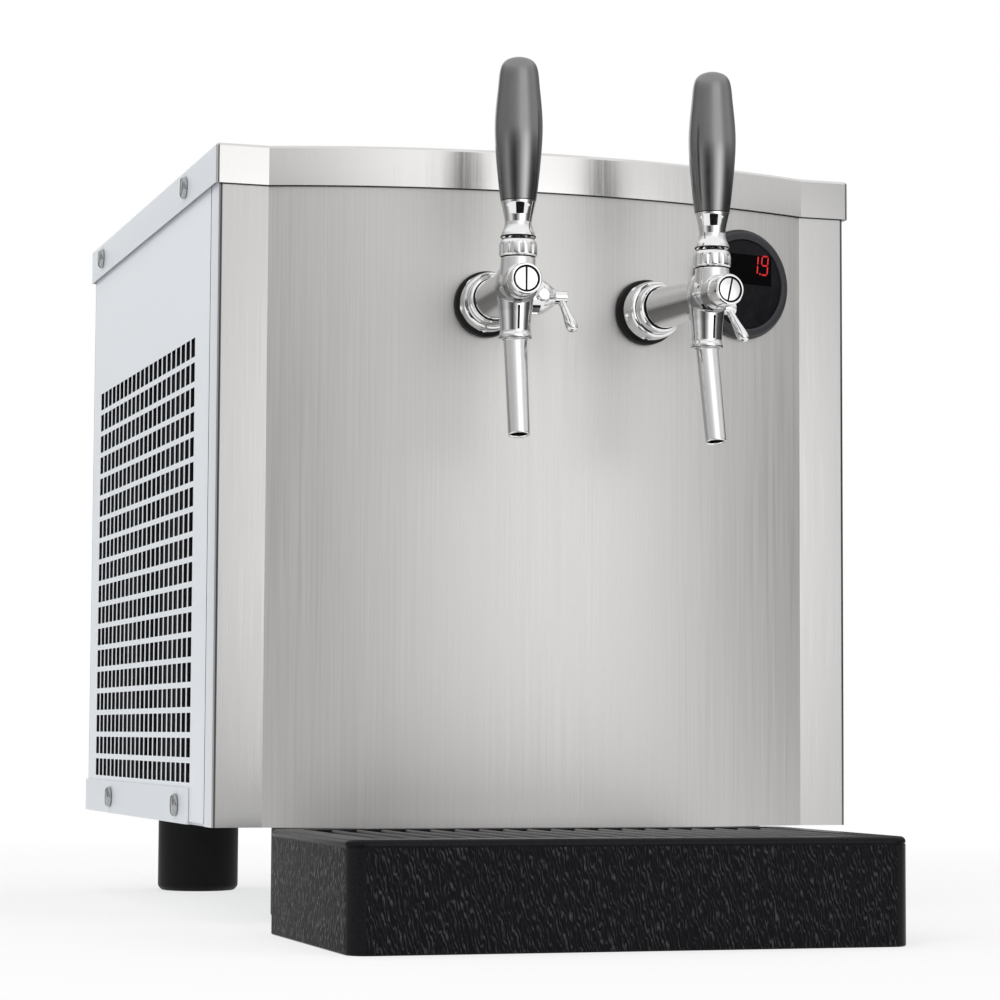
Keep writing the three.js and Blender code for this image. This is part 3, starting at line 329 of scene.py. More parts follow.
def noise(finish, scale, stretch=(1, 1, 1), detail=3.0):
    """Noise of a given number of grains per metre."""
    place = stretched(finish, stretch)
    return node(finish, "TexNoise", ("Vector", place), ("Scale", scale), ("Detail", detail))["Fac"]


def spread(finish, value, low, high, into_low=0.3, into_high=0.7):
    """Map a pattern's middle values onto a range."""
    return node(finish, "MapRange", ("Value", value), ("From Min", into_low), ("From Max", into_high),
                ("To Min", low), ("To Max", high))["Result"]


def tint(finish, value, dark, light, **settings):
    """Mix two colours by a pattern; either can be another node's output."""
    return node(finish, "Mix", ("Factor", value), ("A", dark), ("B", light), data_type="RGBA",
                **settings)["Result"]


def ramp(finish, value, stops):
    """A brightness that runs along a pattern: stops are (place, brightness) pairs, from 0 up."""
    band = node(finish, "ValToRGB", ("Fac", value))["Color"]
    elements = band.node.color_ramp.elements
    elements.remove(elements[1])
    for i, (place, shade) in enumerate(stops):
        stop = elements.new(place) if i else elements[0]
        stop.position, stop.color = place, (shade, shade, shade, 1)
    return band


def relief(finish, shader, value, distance, strength=1.0):
    bump = node(finish, "Bump", ("Height", value), ("Distance", distance), ("Strength", strength))
    feed(shader, ("Normal", bump["Normal"]))


def either_side(colour, share):
    """A colour made darker and lighter by a share of itself."""
    return [c * (1 - share) for c in colour], [min(1, c * (1 + share)) for c in colour]


print("material helpers ready")

# %% [markdown]
# ## Brushed steel
# The front and the cover are stainless sheet with a vertical grain: a noise that is squeezed across the
# brushing direction and drawn out along it. It tints the metal, changes its roughness, and lifts the
# surface by a few thousandths of a millimetre, which is what smears reflections sideways.

# %% Steel finishes
def brushed(name, colour, roughness, stretch, depth, spreading=0.0, contrast=0.05):
    finish, shader = new_finish(name, colour, roughness, 1.0)
    shader.inputs["Anisotropic"].default_value = spreading
    grain = noise(finish, 1.0, stretch, 4.0)
    across = node(finish, "Tangent", direction_type="RADIAL", axis="Z")
    feed(shader, ("Base Color", tint(finish, spread(finish, grain, 0, 1), *either_side(colour, contrast))),
         ("Roughness", spread(finish, grain, roughness - 0.04, roughness + 0.05)),
         ("Tangent", across["Tangent"]))
    relief(finish, shader, grain, depth, 0.5)
    return finish


front_steel = brushed("front_steel", (0.64, 0.63, 0.617), 0.45, (1000, 1000, 9), 0.000008, 0.4, 0.06)
# A darker copy of the front's steel, for the flats beside the bow and the cover's right flat: painted shade.
fold_shade_steel = brushed("fold_shade_steel", (0.47, 0.465, 0.461), 0.30, (1500, 1500, 12), 0.000004, 0.4, 0.015)
cover_steel = brushed("cover_steel", (0.715, 0.706, 0.697), 0.23, (700, 700, 12), 0.000003, 0.4, 0.02)
# A dark steel for bends and gaps that lie in shadow: painted shade.
painted_shade_steel = brushed("painted_shade_steel", (0.15, 0.15, 0.155), 0.3, (1500, 1500, 12), 0.000003)
screw_steel = brushed("screw_steel", (0.40, 0.41, 0.42), 0.25, (260, 260, 260), 0.000006)
zinc = brushed("zinc", (0.60, 0.61, 0.62), 0.34, (260, 260, 260), 0.00001)
print("steel finishes ready")

# %% [markdown]
# ## Pale sheet
# The sides are a nearly white sheet with a faint grain from front to rear. The cut edges of the grille lie
# in shadow, and that shade is painted: they don't look sideways, so the direction of a face tells the
# material where to turn dark.

# %% Pale steel, and the punched side panels
def pale(name, colour, light):
    finish, shader = new_finish(name, colour, 0.42, 0.25)
    grain = noise(finish, 1.0, (30, 900, 900))
    sheet = tint(finish, spread(finish, grain, 0, 1), colour, light)
    feed(shader, ("Base Color", sheet), ("Roughness", spread(finish, grain, 0.36, 0.48)))
    return finish, shader, sheet


# Painted shade for faces that don't look sideways, the grille's cut edges among them.
PUNCHED_EDGE_SHADE = (0.01, 0.01, 0.012)
# This pale steel also stands for the bright reflection on the sideways faces of the steel front and cover:
# painted reflection.
pale_steel, _, _ = pale("pale_steel", (0.80, 0.84, 0.88), (0.84, 0.88, 0.92))
side_steel, side_shader, side_sheet = pale("side_steel", (0.86, 0.90, 0.94), (0.903, 0.945, 0.987))
sideways = maths(side_steel, "ABSOLUTE", axes(side_steel, "Normal")["X"])
outer_face = spread(side_steel, sideways, 0, 1, 0.4, 0.6)
feed(side_shader, ("Base Color", tint(side_steel, outer_face, PUNCHED_EDGE_SHADE, side_sheet)))
print("pale finishes ready")

# %% [markdown]
# ## Chrome, rubber, plastic and glass
# Chrome is a mirror with a faint polish haze and a trace of waviness. The faces of the castings that look
# down and sideways mirror the dark counter, and that reflection is painted into their colour as a dark
# band: painted reflection. Rubber and moulded plastic are dark and never quite even. The handles are
# glossy, but their reflection is turned down at the brink of their outline: a painted dark rim.

# %% Finishes of the fittings
def speckled(name, colour, roughness, scale, depth, variation=0.25, metallic=0.0, shine=0.5):
    finish, shader = new_finish(name, colour, roughness, metallic, shine)
    grain = noise(finish, scale)
    feed(shader, ("Base Color", tint(finish, spread(finish, grain, 0, 1), *either_side(colour, variation))),
         ("Roughness", spread(finish, grain, roughness * 0.85, roughness * 1.15)))
    relief(finish, shader, grain, depth)
    return finish, shader


CHROME = ((0.84, 0.84, 0.84), 0.06, 160, 0.000012, 0.02, 1.0)
# The castings' dark band below is a painted reflection of the counter.
PAINTED_COUNTER_REFLECTION = 0.3
chrome, _ = speckled("chrome", *CHROME)
cast_chrome, cast_shader = speckled("cast_chrome", *CHROME)
upward = spread(cast_chrome, axes(cast_chrome, "Normal")["Z"], 0, 1, -1, 1)
band = ((0, 1), (0.04, 1), (0.12, PAINTED_COUNTER_REFLECTION), (0.36, PAINTED_COUNTER_REFLECTION), (0.46, 1))
painted_counter_band = ramp(cast_chrome, upward, band)
polished = cast_shader.inputs["Base Color"].links[0].from_socket
feed(cast_shader, ("Base Color", tint(cast_chrome, 1.0, polished, painted_counter_band, blend_type="MULTIPLY")))

rubber, _ = speckled("rubber", (0.007, 0.007, 0.0075), 0.5, 1500, 0.00003, shine=0.15)
moulded, _ = speckled("moulded", (0.020, 0.020, 0.024), 0.38, 1200, 0.00002)
painted, _ = speckled("painted", (0.015, 0.015, 0.016), 0.35, 500, 0.00003)
# The condenser is nearly black so that the grille's holes look dark inside: painted shade.
condenser_shade, _ = speckled("condenser_shade", (0.004, 0.004, 0.0045), 0.6, 700, 0.00003, 0.3)
foam, _ = speckled("foam", (0.72, 0.70, 0.66), 0.7, 500, 0.0001, 0.08)
cone_white, _ = speckled("cone_white", (0.75, 0.74, 0.70), 0.4, 600, 0.00001, 0.05)
wire_black, _ = speckled("wire_black", (0.018, 0.018, 0.021), 0.34, 900, 0.00003)

handle_black, handle_shader = speckled("handle_black", (0.012, 0.012, 0.012), 0.15, 120, 0.00001, 0.1)
handle_shader.inputs["IOR"].default_value = 2.9
# Turning the reflection down at the outline's brink paints a dark rim there: painted shade.
painted_rim_shade = node(handle_black, "LayerWeight")["Facing"]
feed(handle_shader, ("Specular IOR Level", spread(handle_black, painted_rim_shade, 0.5, 0.06, 0.68, 0.9)))

glass_dark, _ = speckled("glass_dark", (0.009, 0.008, 0.010), 0.25, 150, 0.000002, shine=0.1)
field_black, _ = speckled("field_black", (0.002, 0.0015, 0.002), 0.3, 400, 0.000002, shine=0.03)
print("fitting finishes ready")

# %% [markdown]
# ## Leather grain
# The tray has a leather grain pressed into its walls: fine upright wrinkles, whose crests are painted
# lighter and more reflective than the valleys: painted highlight. Wavering bands, drawn out upwards, give
# the wrinkles their direction, and a coarser noise breaks them up into short strokes. Alone, the bands
# would look like wood and the noise like flakes.

# %% Finishes of the tray
# The lighter crest colour and the stronger reflection on the crests are painted highlight.
def leather(name, valley, painted_crest_highlight):
    finish, shader = new_finish(name, valley, 0.42)
    bands = node(finish, "TexWave", ("Vector", stretched(finish, (1, 1, 0.3))), ("Scale", 290),
                 ("Distortion", 9.5), ("Detail", 2.0), ("Detail Scale", 1.2), bands_direction="DIAGONAL")
    wrinkles = spread(finish, bands["Fac"], 0, 1, 0.4, 1.0)
    strokes = spread(finish, noise(finish, 300, (1, 1, 0.6), 1.5), 0.12, 1, 0.40, 0.62)
    raised = maths(finish, "MULTIPLY", wrinkles, strokes)
    feed(shader, ("Base Color", tint(finish, raised, valley, painted_crest_highlight)),
         ("Specular IOR Level", spread(finish, raised, 0.06, 0.4, 0, 1)),
         ("Roughness", spread(finish, raised, 0.5, 0.34, 0, 1)))
    relief(finish, shader, raised, 0.0008)
    return finish


tray_grain = leather("tray_grain", (0.0050, 0.0050, 0.0060), (0.024, 0.024, 0.028))
tray_smooth, _ = speckled("tray_smooth", (0.007, 0.007, 0.0085), 0.3, 600, 0.000003, shine=0.1)
print("tray finishes ready")

# %% [markdown]
# ## Finishes for the solids that stay
# The flat sheets, the pan and everything inside the cabinet have the right shape, so they only take a
# finish.

# %% Dress the carried-over solids
DRESS = (
    (side_steel, [f"{side}_side_panel" for side in SIDES]),
    (pale_steel, ["base_pan"]),
    (zinc, ["rear_panel", "fan_motor", "suction_line", "beer_inlet_left", "beer_inlet_right"]),
    (zinc, [f"{side}_tap_{part}" for side in SIDES for part in ("shank", "beer_line", "valve_shaft")]),
    (rubber, ["cord_gland"]),
    (moulded, ["fan_blades"]),
    (painted, ["compressor", "fan_shroud"]),
    (condenser_shade, ["condenser"]),
    (foam, ["cooling_block"]),
    (cone_white, [f"{side}_tap_compensator_cone" for side in SIDES]),
)
for finish, names in DRESS:
    for name in names:
        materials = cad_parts[name].data.materials
        materials.clear()
        materials.append(finish)
print("solids that keep their shape:", sum(len(names) for _, names in DRESS))

# %% [markdown]
# ## The bowed front
# The front is one sheet: two narrow flats, a long shallow bow between two soft folds, and a short return at
# each side. Its outline from above is drawn once, offset inwards for the sheet's thickness, and raised. The
# bends at the corners and the strip under the cover lie in shadow, so their faces take a darker steel:
# painted shade. The flats take a darker copy of the bow's steel, also painted shade, and the sideways
# returns take a pale steel that stands for a bright reflection from the side: painted reflection.

# %% Outline of the front from above
BOW_STEPS, BEND_STEPS = 72, 10


def quarter_turn(steps):
    return [pi / 2 * i / steps for i in range(steps + 1)]


def outline(inset, rear, corner=2.5):
    """One side and its bend, the bow, and the other side, all moved in by inset."""
    side, radius = WIDTH / 2 - inset, BOW_RADIUS - inset
    left = [(-side, rear)] + [(-side + corner * (1 - cos(turn)), inset + corner * (1 - sin(turn)))
                              for turn in quarter_turn(BEND_STEPS)]
    reach = asin(sqrt(radius**2 - (BOW_CENTRE - inset) ** 2) / radius)
    angles = [reach * (2 * i / BOW_STEPS - 1) for i in range(BOW_STEPS + 1)]
    bow = [(radius * sin(angle), BOW_CENTRE - radius * cos(angle)) for angle in angles]
    return left + bow + [(-x, y) for x, y in reversed(left)]


def hole_cutter(x, z, diameter):
    plug = rod("plug", diameter / 2, -40, 40, 48)
    plug.matrix_world = bow_place(x, z) @ OUTWARD
    return plug


LEFT_TAP, RIGHT_TAP, TAP_Z = -43.5, 57.3, 309.8
DISPLAY_X, DISPLAY_Z = 124.5, 332.0
TAP_HOLE, DISPLAY_HOLE, RETURN = 17, 58, 20.8
UNDER_COVER = HEIGHT - SKIRT - 0.5
plan = outline(0, RETURN) + list(reversed(outline(SHEET, RETURN, 1.3)))
levels = (0, 60, 140, 230, 320, UNDER_COVER, HEIGHT - 1.5)
panel = prism("bowed_front", plan, levels, 15)
panel.matrix_world = cabinet_place(0, 0, 0)
carve(panel, [hole_cutter(LEFT_TAP, TAP_Z, TAP_HOLE), hole_cutter(RIGHT_TAP, TAP_Z, TAP_HOLE),
              hole_cutter(DISPLAY_X, DISPLAY_Z, DISPLAY_HOLE)], 15)
fit(panel, FLAT, front_steel, ["front_panel"])
print("front panel faces:", len(panel.data.polygons))

# %% Finishes of the front's folds and bends
# Sideways faces of the steel front and cover take the pale steel: a painted reflection of bright light from
# the side.
PLAIN, PALE_REFLECTION, FOLD_SHADE, BEND_SHADE = range(4)


# The bends at the corners and the strip under the cover take the dark steel: painted shade.
def front_part(middle, outward):
    if outward.y < -0.5 and middle.z > UNDER_COVER:
        return BEND_SHADE
    if abs(outward.x) > 0.9:
        return PALE_REFLECTION
    if abs(middle.x) > BOW_HALF:
        return BEND_SHADE if 0.1 < abs(outward.x) < 0.62 and outward.y < -0.5 else FOLD_SHADE
    return PLAIN


# The flats beside the bow take the darker copy of the steel: painted shade.
sorted_faces(panel, front_part, pale_steel, fold_shade_steel, painted_shade_steel)
print("bend faces:", sum(face.material_index == BEND_SHADE for face in panel.data.polygons))

# %% [markdown]
# ## The cover
# The cover is a folded lid whose skirt follows the same bow, 2.5 mm further out. The skin climbs the outside
# of the skirt, turns over the rounded bend of the sheet and closes on top; the same outline one sheet
# further in gives the inside. Its sideways faces take the pale steel, a painted reflection; its lower edge,
# corner bends and right flat take darker steel, painted shade.

# %% Cover with a rounded top edge
EDGE, EDGE_STEPS = 2.2, 8


def cover_ring(inset, z):
    shape = outline(inset - OVERHANG, DEPTH + OVERHANG - inset, max(OVERHANG - inset, 0.6))
    return [(x, y, z) for x, y in shape]


rings = [cover_ring(SHEET, HEIGHT - SHEET), cover_ring(SHEET, HEIGHT - SKIRT), cover_ring(0, HEIGHT - SKIRT)]
for turn in quarter_turn(EDGE_STEPS):
    rings.append(cover_ring(EDGE * (1 - cos(turn)), HEIGHT - EDGE * (1 - sin(turn))))
cover = skin("lid", rings, sharp=15)
fit(cover, cabinet_place(0, 0, 0), cover_steel, ["cover"])


# The cover's lower edge and its corner bends take the dark steel: painted shade.
def cover_part(middle, outward):
    if abs(outward.x) > 0.9:
        return PALE_REFLECTION
    corner = abs(middle.x) > WIDTH / 2 and 0.2 < abs(outward.x) < 0.5 and outward.y < -0.8
    if outward.z < -0.9 or corner:
        return BEND_SHADE
    return FOLD_SHADE if outward.y < -0.99 and middle.x > BOW_HALF else PLAIN


# The cover's right flat alone takes the darker copy of the steel: painted shade.
sorted_faces(cover, cover_part, pale_steel, fold_shade_steel, painted_shade_steel)
print("cover faces:", len(cover.data.polygons))

# %% [markdown]
# ## Feet and screws
# The feet are plain rubber pucks with a soft lower edge. The screws are pan heads; a slot is cut once, and
# all eight share that mesh. No two screws stop at the same turn, so each slot points its own way.

# %% Feet
FOOT_RADIUS, FOOT_X, FOOT_INSET = 28.2, 127, 36
foot_profile = softened([(0, 0), (FOOT_RADIUS - 2.7, 0), (FOOT_RADIUS, 3), (FOOT_RADIUS, FOOT - 0.3),
                         (0, FOOT - 0.3)], 1.5, 4)
for end, y in (("front", FOOT_INSET), ("rear", DEPTH - FOOT_INSET)):
    for side, x in zip(SIDES, (-FOOT_X, FOOT_X)):
        foot = turned(f"puck_{end}_{side}", foot_profile, 72)
        fit(foot, cabinet_place(x, y, -FOOT), rubber, [f"foot_{end}_{side}"])
print("feet placed")

# %% Screws with slotted heads
head = turned("pan_head", softened([(0, 0), (7, 0), (7, 1.3), (5.4, 3.0), (0, 3.2)], 0.7, 4), 40)
bar = prism("bar", ((-0.95, -9), (0.95, -9), (0.95, 9), (-0.95, 9)), (1.4, 5))
screw_mesh = shape_of(carve(head, [bar]))
HEAD_GAP = 0.3


# The slot's faces take the black rubber finish: painted shade in the recess.
def slot_shade(middle, outward):
    return int(abs(middle.x) < 0.97 and abs(middle.y) < 6.6 and 1.3 < middle.z < 2.9)


ROWS = {"cover": (WIDTH / 2 + OVERHANG, HEIGHT - SKIRT / 2, (88, DEPTH - 42)),
        "base": (WIDTH / 2 + 1.5, 11, (98, DEPTH - 98))}
turns = iter((84, 97, 92, 80, 95, 88, 100, 86))
for row, (face, z, depths) in ROWS.items():
    for side, sign in zip(SIDES, (-1, 1)):
        for end, y in zip(("front", "rear"), depths):
            screw = added(f"pan_{row}_{side}_{end}", screw_mesh)
            spin = Matrix.Rotation(sign * pi / 2, 4, "Y") @ Matrix.Rotation(radians(next(turns)), 4, "Z")
            fit(screw, cabinet_place(sign * (face + HEAD_GAP), y, z) @ spin, screw_steel,
                [f"{row}_screw_{side}_{end}"])
            sorted_faces(screw, slot_shade, rubber)
print("screws placed")

# %% [markdown]
# ## The round display
# A moulded bezel stands a few millimetres proud of the bow, with the dark window let into it. Inside the
# window a slightly blacker oblong marks the digits' field.

# %% Bezel and window
display_place = bow_place(DISPLAY_X, DISPLAY_Z) @ OUTWARD
bezel_profile = softened(
    [(0, -36), (28.5, -36), (28.5, 0.3), (34, 0.3), (34, 3.6), (31.8, 6.2), (28.4, 6.3), (27.5, 5.2),
     (27.5, 3.1), (0, 3.1)], 0.7, 4)
bezel = turned("bezel", bezel_profile, 96)
fit(bezel, display_place, moulded, ["thermostat_case"])
pane = turned("pane", softened([(0, 3.4), (27.2, 3.4), (27.2, 5.1), (0, 5.1)], 0.3), 96)
fit(pane, display_place, glass_dark, ["thermostat_window"])
field = prism("field", ((-20.3, 0.0), (20.3, 0.0), (20.3, 18.5), (-20.3, 18.5)), (4.9, 5.15))
fit(field, display_place, field_black)
print("display placed at x", DISPLAY_X)

# %% [markdown]
# ## The digits
# The temperature is shown by two digits of seven bars each and a point between them, all of red light.
# Each lit bar is a thin pointed plate just in front of the window, and the uprights lean a little.

# %% Digits
glow, glow_shader = new_finish("glow", (0.2, 0.004, 0.004), 0.6, shine=0.05)
feed(glow_shader, ("Emission Color", (1.0, 0.05, 0.06)),
     ("Emission Strength", spread(glow, noise(glow, 900, detail=1), 0.5, 0.68)))

BEFORE_WINDOW = (5.18, 5.26)
DIGIT_Z, DIGIT_HIGH, DIGIT_WIDE, BAR = 12.6, 11.6, 4.6, 0.9
POINT = (11.6, 7.2, 0.6)
SEGMENTS = {"a": (0, 1, False), "b": (0.5, 0.5, True), "c": (0.5, -0.5, True), "d": (0, -1, False),
            "e": (-0.5, -0.5, True), "f": (-0.5, 0.5, True), "g": (0, 0, False)}


def digit(name, lit, x):
    """Lit segments of one digit as thin plates, leaning slightly as on real displays."""
    plates = []
    for key in lit:
        cx, cy, upright = SEGMENTS[key]
        middle = Vector((x + cx * DIGIT_WIDE + cy * 0.5, DIGIT_Z + cy * DIGIT_HIGH / 2))
        half = (DIGIT_HIGH / 4 if upright else DIGIT_WIDE / 2) - BAR * 0.35
        axis = Vector((0.1, 0.995)) if upright else Vector((1, 0))
        across = Vector((1, 0)) if upright else Vector((0, 1))
        corners = [middle + axis * half * along + across * BAR * over for along, over in
                   ((-1, 0), (-0.8, -0.5), (0.8, -0.5), (1, 0), (0.8, 0.5), (-0.8, 0.5))]
        plates.append(prism(f"{name}_{key}", corners, BEFORE_WINDOW))
    return plates


plates = digit("one", "bc", 7.6) + digit("nine", "abcdfg", 15.2)
x, y, radius = POINT
dot = [(x + radius * cos(pi * i / 6), y + radius * sin(pi * i / 6)) for i in range(12)]
plates.append(prism("point", dot, BEFORE_WINDOW))
digits = merged("digits", plates)
fit(digits, display_place, glow)
print("digit faces:", len(digits.data.polygons))

# %% [markdown]
# ## The taps
# Each tap is a chromed casting on a threaded shank. Its parts are turned, apart from the body, where a
# tapering barrel, a neck, an outlet and a side boss flow into each other. There simple solids are pushed
# together, remeshed as one skin and smoothed, which leaves a small fillet in every corner. Then the
# passages are bored, as a machinist would do it.

# %% Frame of a tap
REACH, PIVOT = 87.5, 20.0
OUTLET_AT, OUTLET_END, BOSS_AT = 81, -30.7, 40


def along_barrel(thing):
    """A piece turned about the barrel's axis; heights in its profile are distances from the panel."""
    thing.matrix_world = OUTWARD
    return thing


def at(thing, s, z=0.0, turn=FLAT):
    """A piece at a distance s from the panel and a height z above the barrel's axis."""
    thing.matrix_world = shifted(0, -s, z) @ turn
    return thing


print("tap axes at", LEFT_TAP, RIGHT_TAP)

# %% Simple solids of the cast body
def body_solids():
    barrel = [(0, 26.2), (12.3, 26.2), (12.4, 27.2), (10.2, 82), (9.6, 97), (9.5, 99.9), (0, 99.9)]
    neck = [(0, 0), (10.8, 0), (10.1, 11), (9.9, 13), (10, 15), (0, 15)]
    outlet = [(0, 0), (11.2, 0), (10.4, -8), (9.5, -15), (8.9, -22), (8.7, -27.2), (9.4, -28.6), (9.5, -30.6),
              (9.1, -31), (0, -31)]
    saddle = [(0, -6), (8, -6), (9.5, 0), (8, 6), (0, 6)]
    boss = [(0, 0), (9.6, 0), (8.7, 8), (8.5, 14), (0, 14)]
    return [
        along_barrel(turned("barrel", softened(barrel, 0.6))),
        at(turned("swell", ball_profile(12.6, 24)), 84.0, 0.4),
        at(turned("shoulder", ball_profile(10.6, 24)), 76.5, 3.6),
        at(turned("neck", softened(neck, 0.8)), REACH),
        at(rod("spigot", 9.0, 10, 19.4, 64), REACH),
        at(turned("outlet", softened(outlet, 0.4)), OUTLET_AT),
        at(turned("saddle", softened(saddle, 2), 48), 75, -7.5, SIDEWAYS),
        at(turned("boss", softened(boss, 0.6), 48), BOSS_AT, turn=SIDEWAYS),
    ]


def body_bores():
    outlet = [(0, -34), (7.3, -34), (7.3, -12), (5, -11.9), (5, 0), (0, 0)]
    groove = ((0.8, 9.0, -13), (0.55, 8.3, -16), (0.15, 8.2, -25))
    return [
        along_barrel(rod("rear_bore", 7.5, 20, 67)),
        along_barrel(rod("seat_bore", 5, 60, 80)),
        along_barrel(rod("front_bore", 7.5, 73, 104)),
        at(rod("ball_bore", 7.8, 12.2, 24, 48), REACH),
        at(prism("slot", ((-2.5, -9.4), (2.5, -9.4), (2.5, 9.4), (-2.5, 9.4)), (0, 14)), REACH),
        at(turned("outlet_bore", outlet, 48), OUTLET_AT),
        at(rod("boss_bore", 4.7, 2, 16), BOSS_AT, turn=SIDEWAYS),
        skin("front_groove", [[(-w, -y - OUTLET_AT, z), (w, -y - OUTLET_AT, z), (w, -100, z), (-w, -100, z)]
                              for w, y, z in groove]),
    ]


print("solids and bores of the body drawn")

# %% Cast body with its passages
body = merged("cast", body_solids())
grow = body.modifiers.new("one skin", "REMESH")
grow.mode = "VOXEL"
grow.voxel_size = 0.00045
fillets = body.modifiers.new("fillets", "SMOOTH")
fillets.factor = 0.5
fillets.iterations = 9
settled(body)
cast_mesh = shape_of(carve(body, body_bores(), 50))
print("cast body faces:", len(cast_mesh.polygons))

# %% [markdown]
# ## The nuts
# The big flange nut clamps the tap to the panel. It is turned in steps and has six dimples round its edge
# for a hook spanner, cut here by small balls. The collar nut above the barrel holds the lever's ball. Its
# ten flutes are part of its rings: where the nut is widest, each ring is drawn in by a rounded wave.

# %% Flange nut with its dimples
flange_profile = softened(
    [(8.3, 7.6), (17.7, 7.6), (18, 8.0), (17.3, 16.9), (16.6, 17.9), (15.5, 18.3), (14.9, 18.4), (14.9, 18.9),
     (15.3, 19.1), (14.9, 23.6), (14.1, 24.8), (13.1, 24.9), (12.9, 25.2), (8.3, 25.2), (8.3, 7.6)], 0.22, 3)
DIMPLES, DIMPLE_START, DIMPLE_RADIUS, DIMPLE_CIRCLE, DIMPLE_AT = 6, 195, 4.4, 20.6, 12.6
balls = []
for i in range(DIMPLES):
    angle = radians(DIMPLE_START + 360 / DIMPLES * i)
    ball = turned("ball", ball_profile(DIMPLE_RADIUS, 16), 32)
    ball.matrix_world = shifted(DIMPLE_CIRCLE * cos(angle), -DIMPLE_AT, DIMPLE_CIRCLE * sin(angle))
    balls.append(ball)
flange = along_barrel(turned("flange_nut", flange_profile, 96))
flange_mesh = shape_of(carve(flange, [merged("dimples", balls)], 32))
print("flange nut faces:", len(flange_mesh.polygons))

# %% Collar nut with its fluted rim
collar_profile = softened(
    [(9.5, -4.7), (9.9, -4.7), (10.7, -4.1), (10.9, -3.0), (10.9, 1.6), (10.5, 3.2), (9.4, 5.0), (8.9, 5.5),
     (6.5, 5.5), (6.5, 4.3), (7.25, 2.95), (7.8, -0.2), (9.5, -0.2), (9.5, -4.7)], 0.35, 3)
FLUTES, FLUTE_DEPTH, COLLAR_STEPS = 10, 0.9, 96


def fluted_ring(radius, height):
    fluted = radius > 10.6 and -3.6 < height < 2.4
    ring = []
    for i in range(COLLAR_STEPS):
        angle = 2 * pi * i / COLLAR_STEPS
        r = radius - (FLUTE_DEPTH * max(0.0, cos(FLUTES * angle)) ** 2 if fluted else 0.0)
        ring.append((r * sin(angle), -r * cos(angle), height))
    return ring


collar_rings = [fluted_ring(radius, height) for radius, height in collar_profile[:-1]]
collar_mesh = shape_of(skin("collar_nut", collar_rings, joined=True, sharp=40))
print("collar nut faces:", len(collar_mesh.polygons))

# %% [markdown]
# ## Levers and handles
# The lever is one turned bar: a finger that pushes the valve, the ball it pivots on, a skirt over the nut,
# and the waisted ferrule below the handle. The handle is a spindle of black plastic, fullest a little
# below its middle, with a domed top. Ten widths along its height, joined by a smooth line, give its swell.

# %% Turned shapes that move with the handle
lever_profile = softened(
    [(0, -16.5), (1.3, -16.4), (2.4, -15), (2.5, -14), (2.2, -12.5), (2.2, -7.2), (4.2, -6.2), (6.4, -3.9),
     (7.5, 0), (6.4, 3.9), (4.2, 6.2), (3, 6.9), (3, 11.4), (6.6, 9.8), (9.7, 6.6), (10.1, 6.3), (10.1, 7.0),
     (9.5, 9.0), (8.4, 11.2), (7.75, 13.4), (7.7, 15.4), (8.2, 19), (9.2, 23.6), (10.1, 27.2), (4, 27.2),
     (4, 39.2), (0, 39.2)], 0.5, 3)


def flowing(points, steps=6):
    """A smooth line through points, by the curve that passes each with its neighbours' direction."""
    points = [Vector(p) for p in points]
    last = points[-1]
    chain = [points[0] * 2 - points[1]] + points + [Vector((-points[-2].x, points[-2].y))]
    line = []
    for a, b, c, d in zip(chain, chain[1:], chain[2:], chain[3:]):
        for i in range(steps):
            s = i / steps
            line.append(b + (c - a) * (0.5 * s) + (a - b * 2.5 + c * 2 - d * 0.5) * s**2
                        + (b * 1.5 - c * 1.5 + (d - a) * 0.5) * s**3)
    return line + [last]


HANDLE_START, HANDLE_LENGTH, HANDLE_BELLY = 27.5, 83.0, 27.4
height_shares = (0, 0.12, 0.3, 0.48, 0.62, 0.78, 0.9, 0.955, 0.985, 1)
width_shares = (0.74, 0.835, 0.94, 1, 0.974, 0.88, 0.8, 0.67, 0.42, 0)
side_line = [(w * HANDLE_BELLY / 2, HANDLE_START + h * HANDLE_LENGTH)
             for w, h in zip(width_shares, height_shares)]
spindle = [Vector((0, 39.8)), Vector((4.3, 39.8)), Vector((4.3, HANDLE_START))] + flowing(side_line)
print("handle profile points:", len(spindle))

# %% [markdown]
# ## Cap, nozzle and compensator
# The slotted cap closes the barrel's front, and the nozzle leans by 11 degrees. The dome nut at the side has
# six flats for a spanner, and out of it comes the pin of the small side lever with its drop-shaped grip.
# Each is made once, and both taps share the mesh.

# %% Cap and nozzle of a tap
NOZZLE_LEAN = -11


def cap_shape():
    cap = along_barrel(turned("cap", softened(
        [(0, 97), (3.5, 97), (5.5, 97), (5.5, 100.3), (8.6, 100.3), (9, 100.8), (9, 109.2), (8.4, 110),
         (7.6, 110), (7.5, 108.4), (6.75, 108.4), (6.7, 109.3), (6.4, 109.6), (0, 109.6)], 0.2, 3), 72))
    groove = skin("groove", [[(x, y, z) for x, z in ((-0.6, -6.7), (0.6, -6.7), (0.6, 6.7), (-0.6, 6.7))]
                             for y in (-112, -108.8)])
    bore = along_barrel(rod("stem_bore", 3.5, 95, 108.3, 24))
    return carve(cap, [groove, bore])


def nozzle_shape():
    plug = turned("plug", softened([(4.8, 0), (7, 0), (7, 10), (4.8, 10), (4.8, 0)], 0.2), 48)
    pipe = turned("pipe", softened(
        [(4.8, 3), (6.6, 3), (6.65, -2), (6.2, -56.4), (5.95, -56.95), (5.3, -56.95), (4.9, -56.2), (4.8, 3)],
        0.25, 3))
    lean = Matrix.Rotation(radians(NOZZLE_LEAN), 4, "X")
    return merged("spout", [at(plug, OUTLET_AT, OUTLET_END), at(pipe, OUTLET_AT, OUTLET_END, lean)])


print("cap and nozzle drawn")

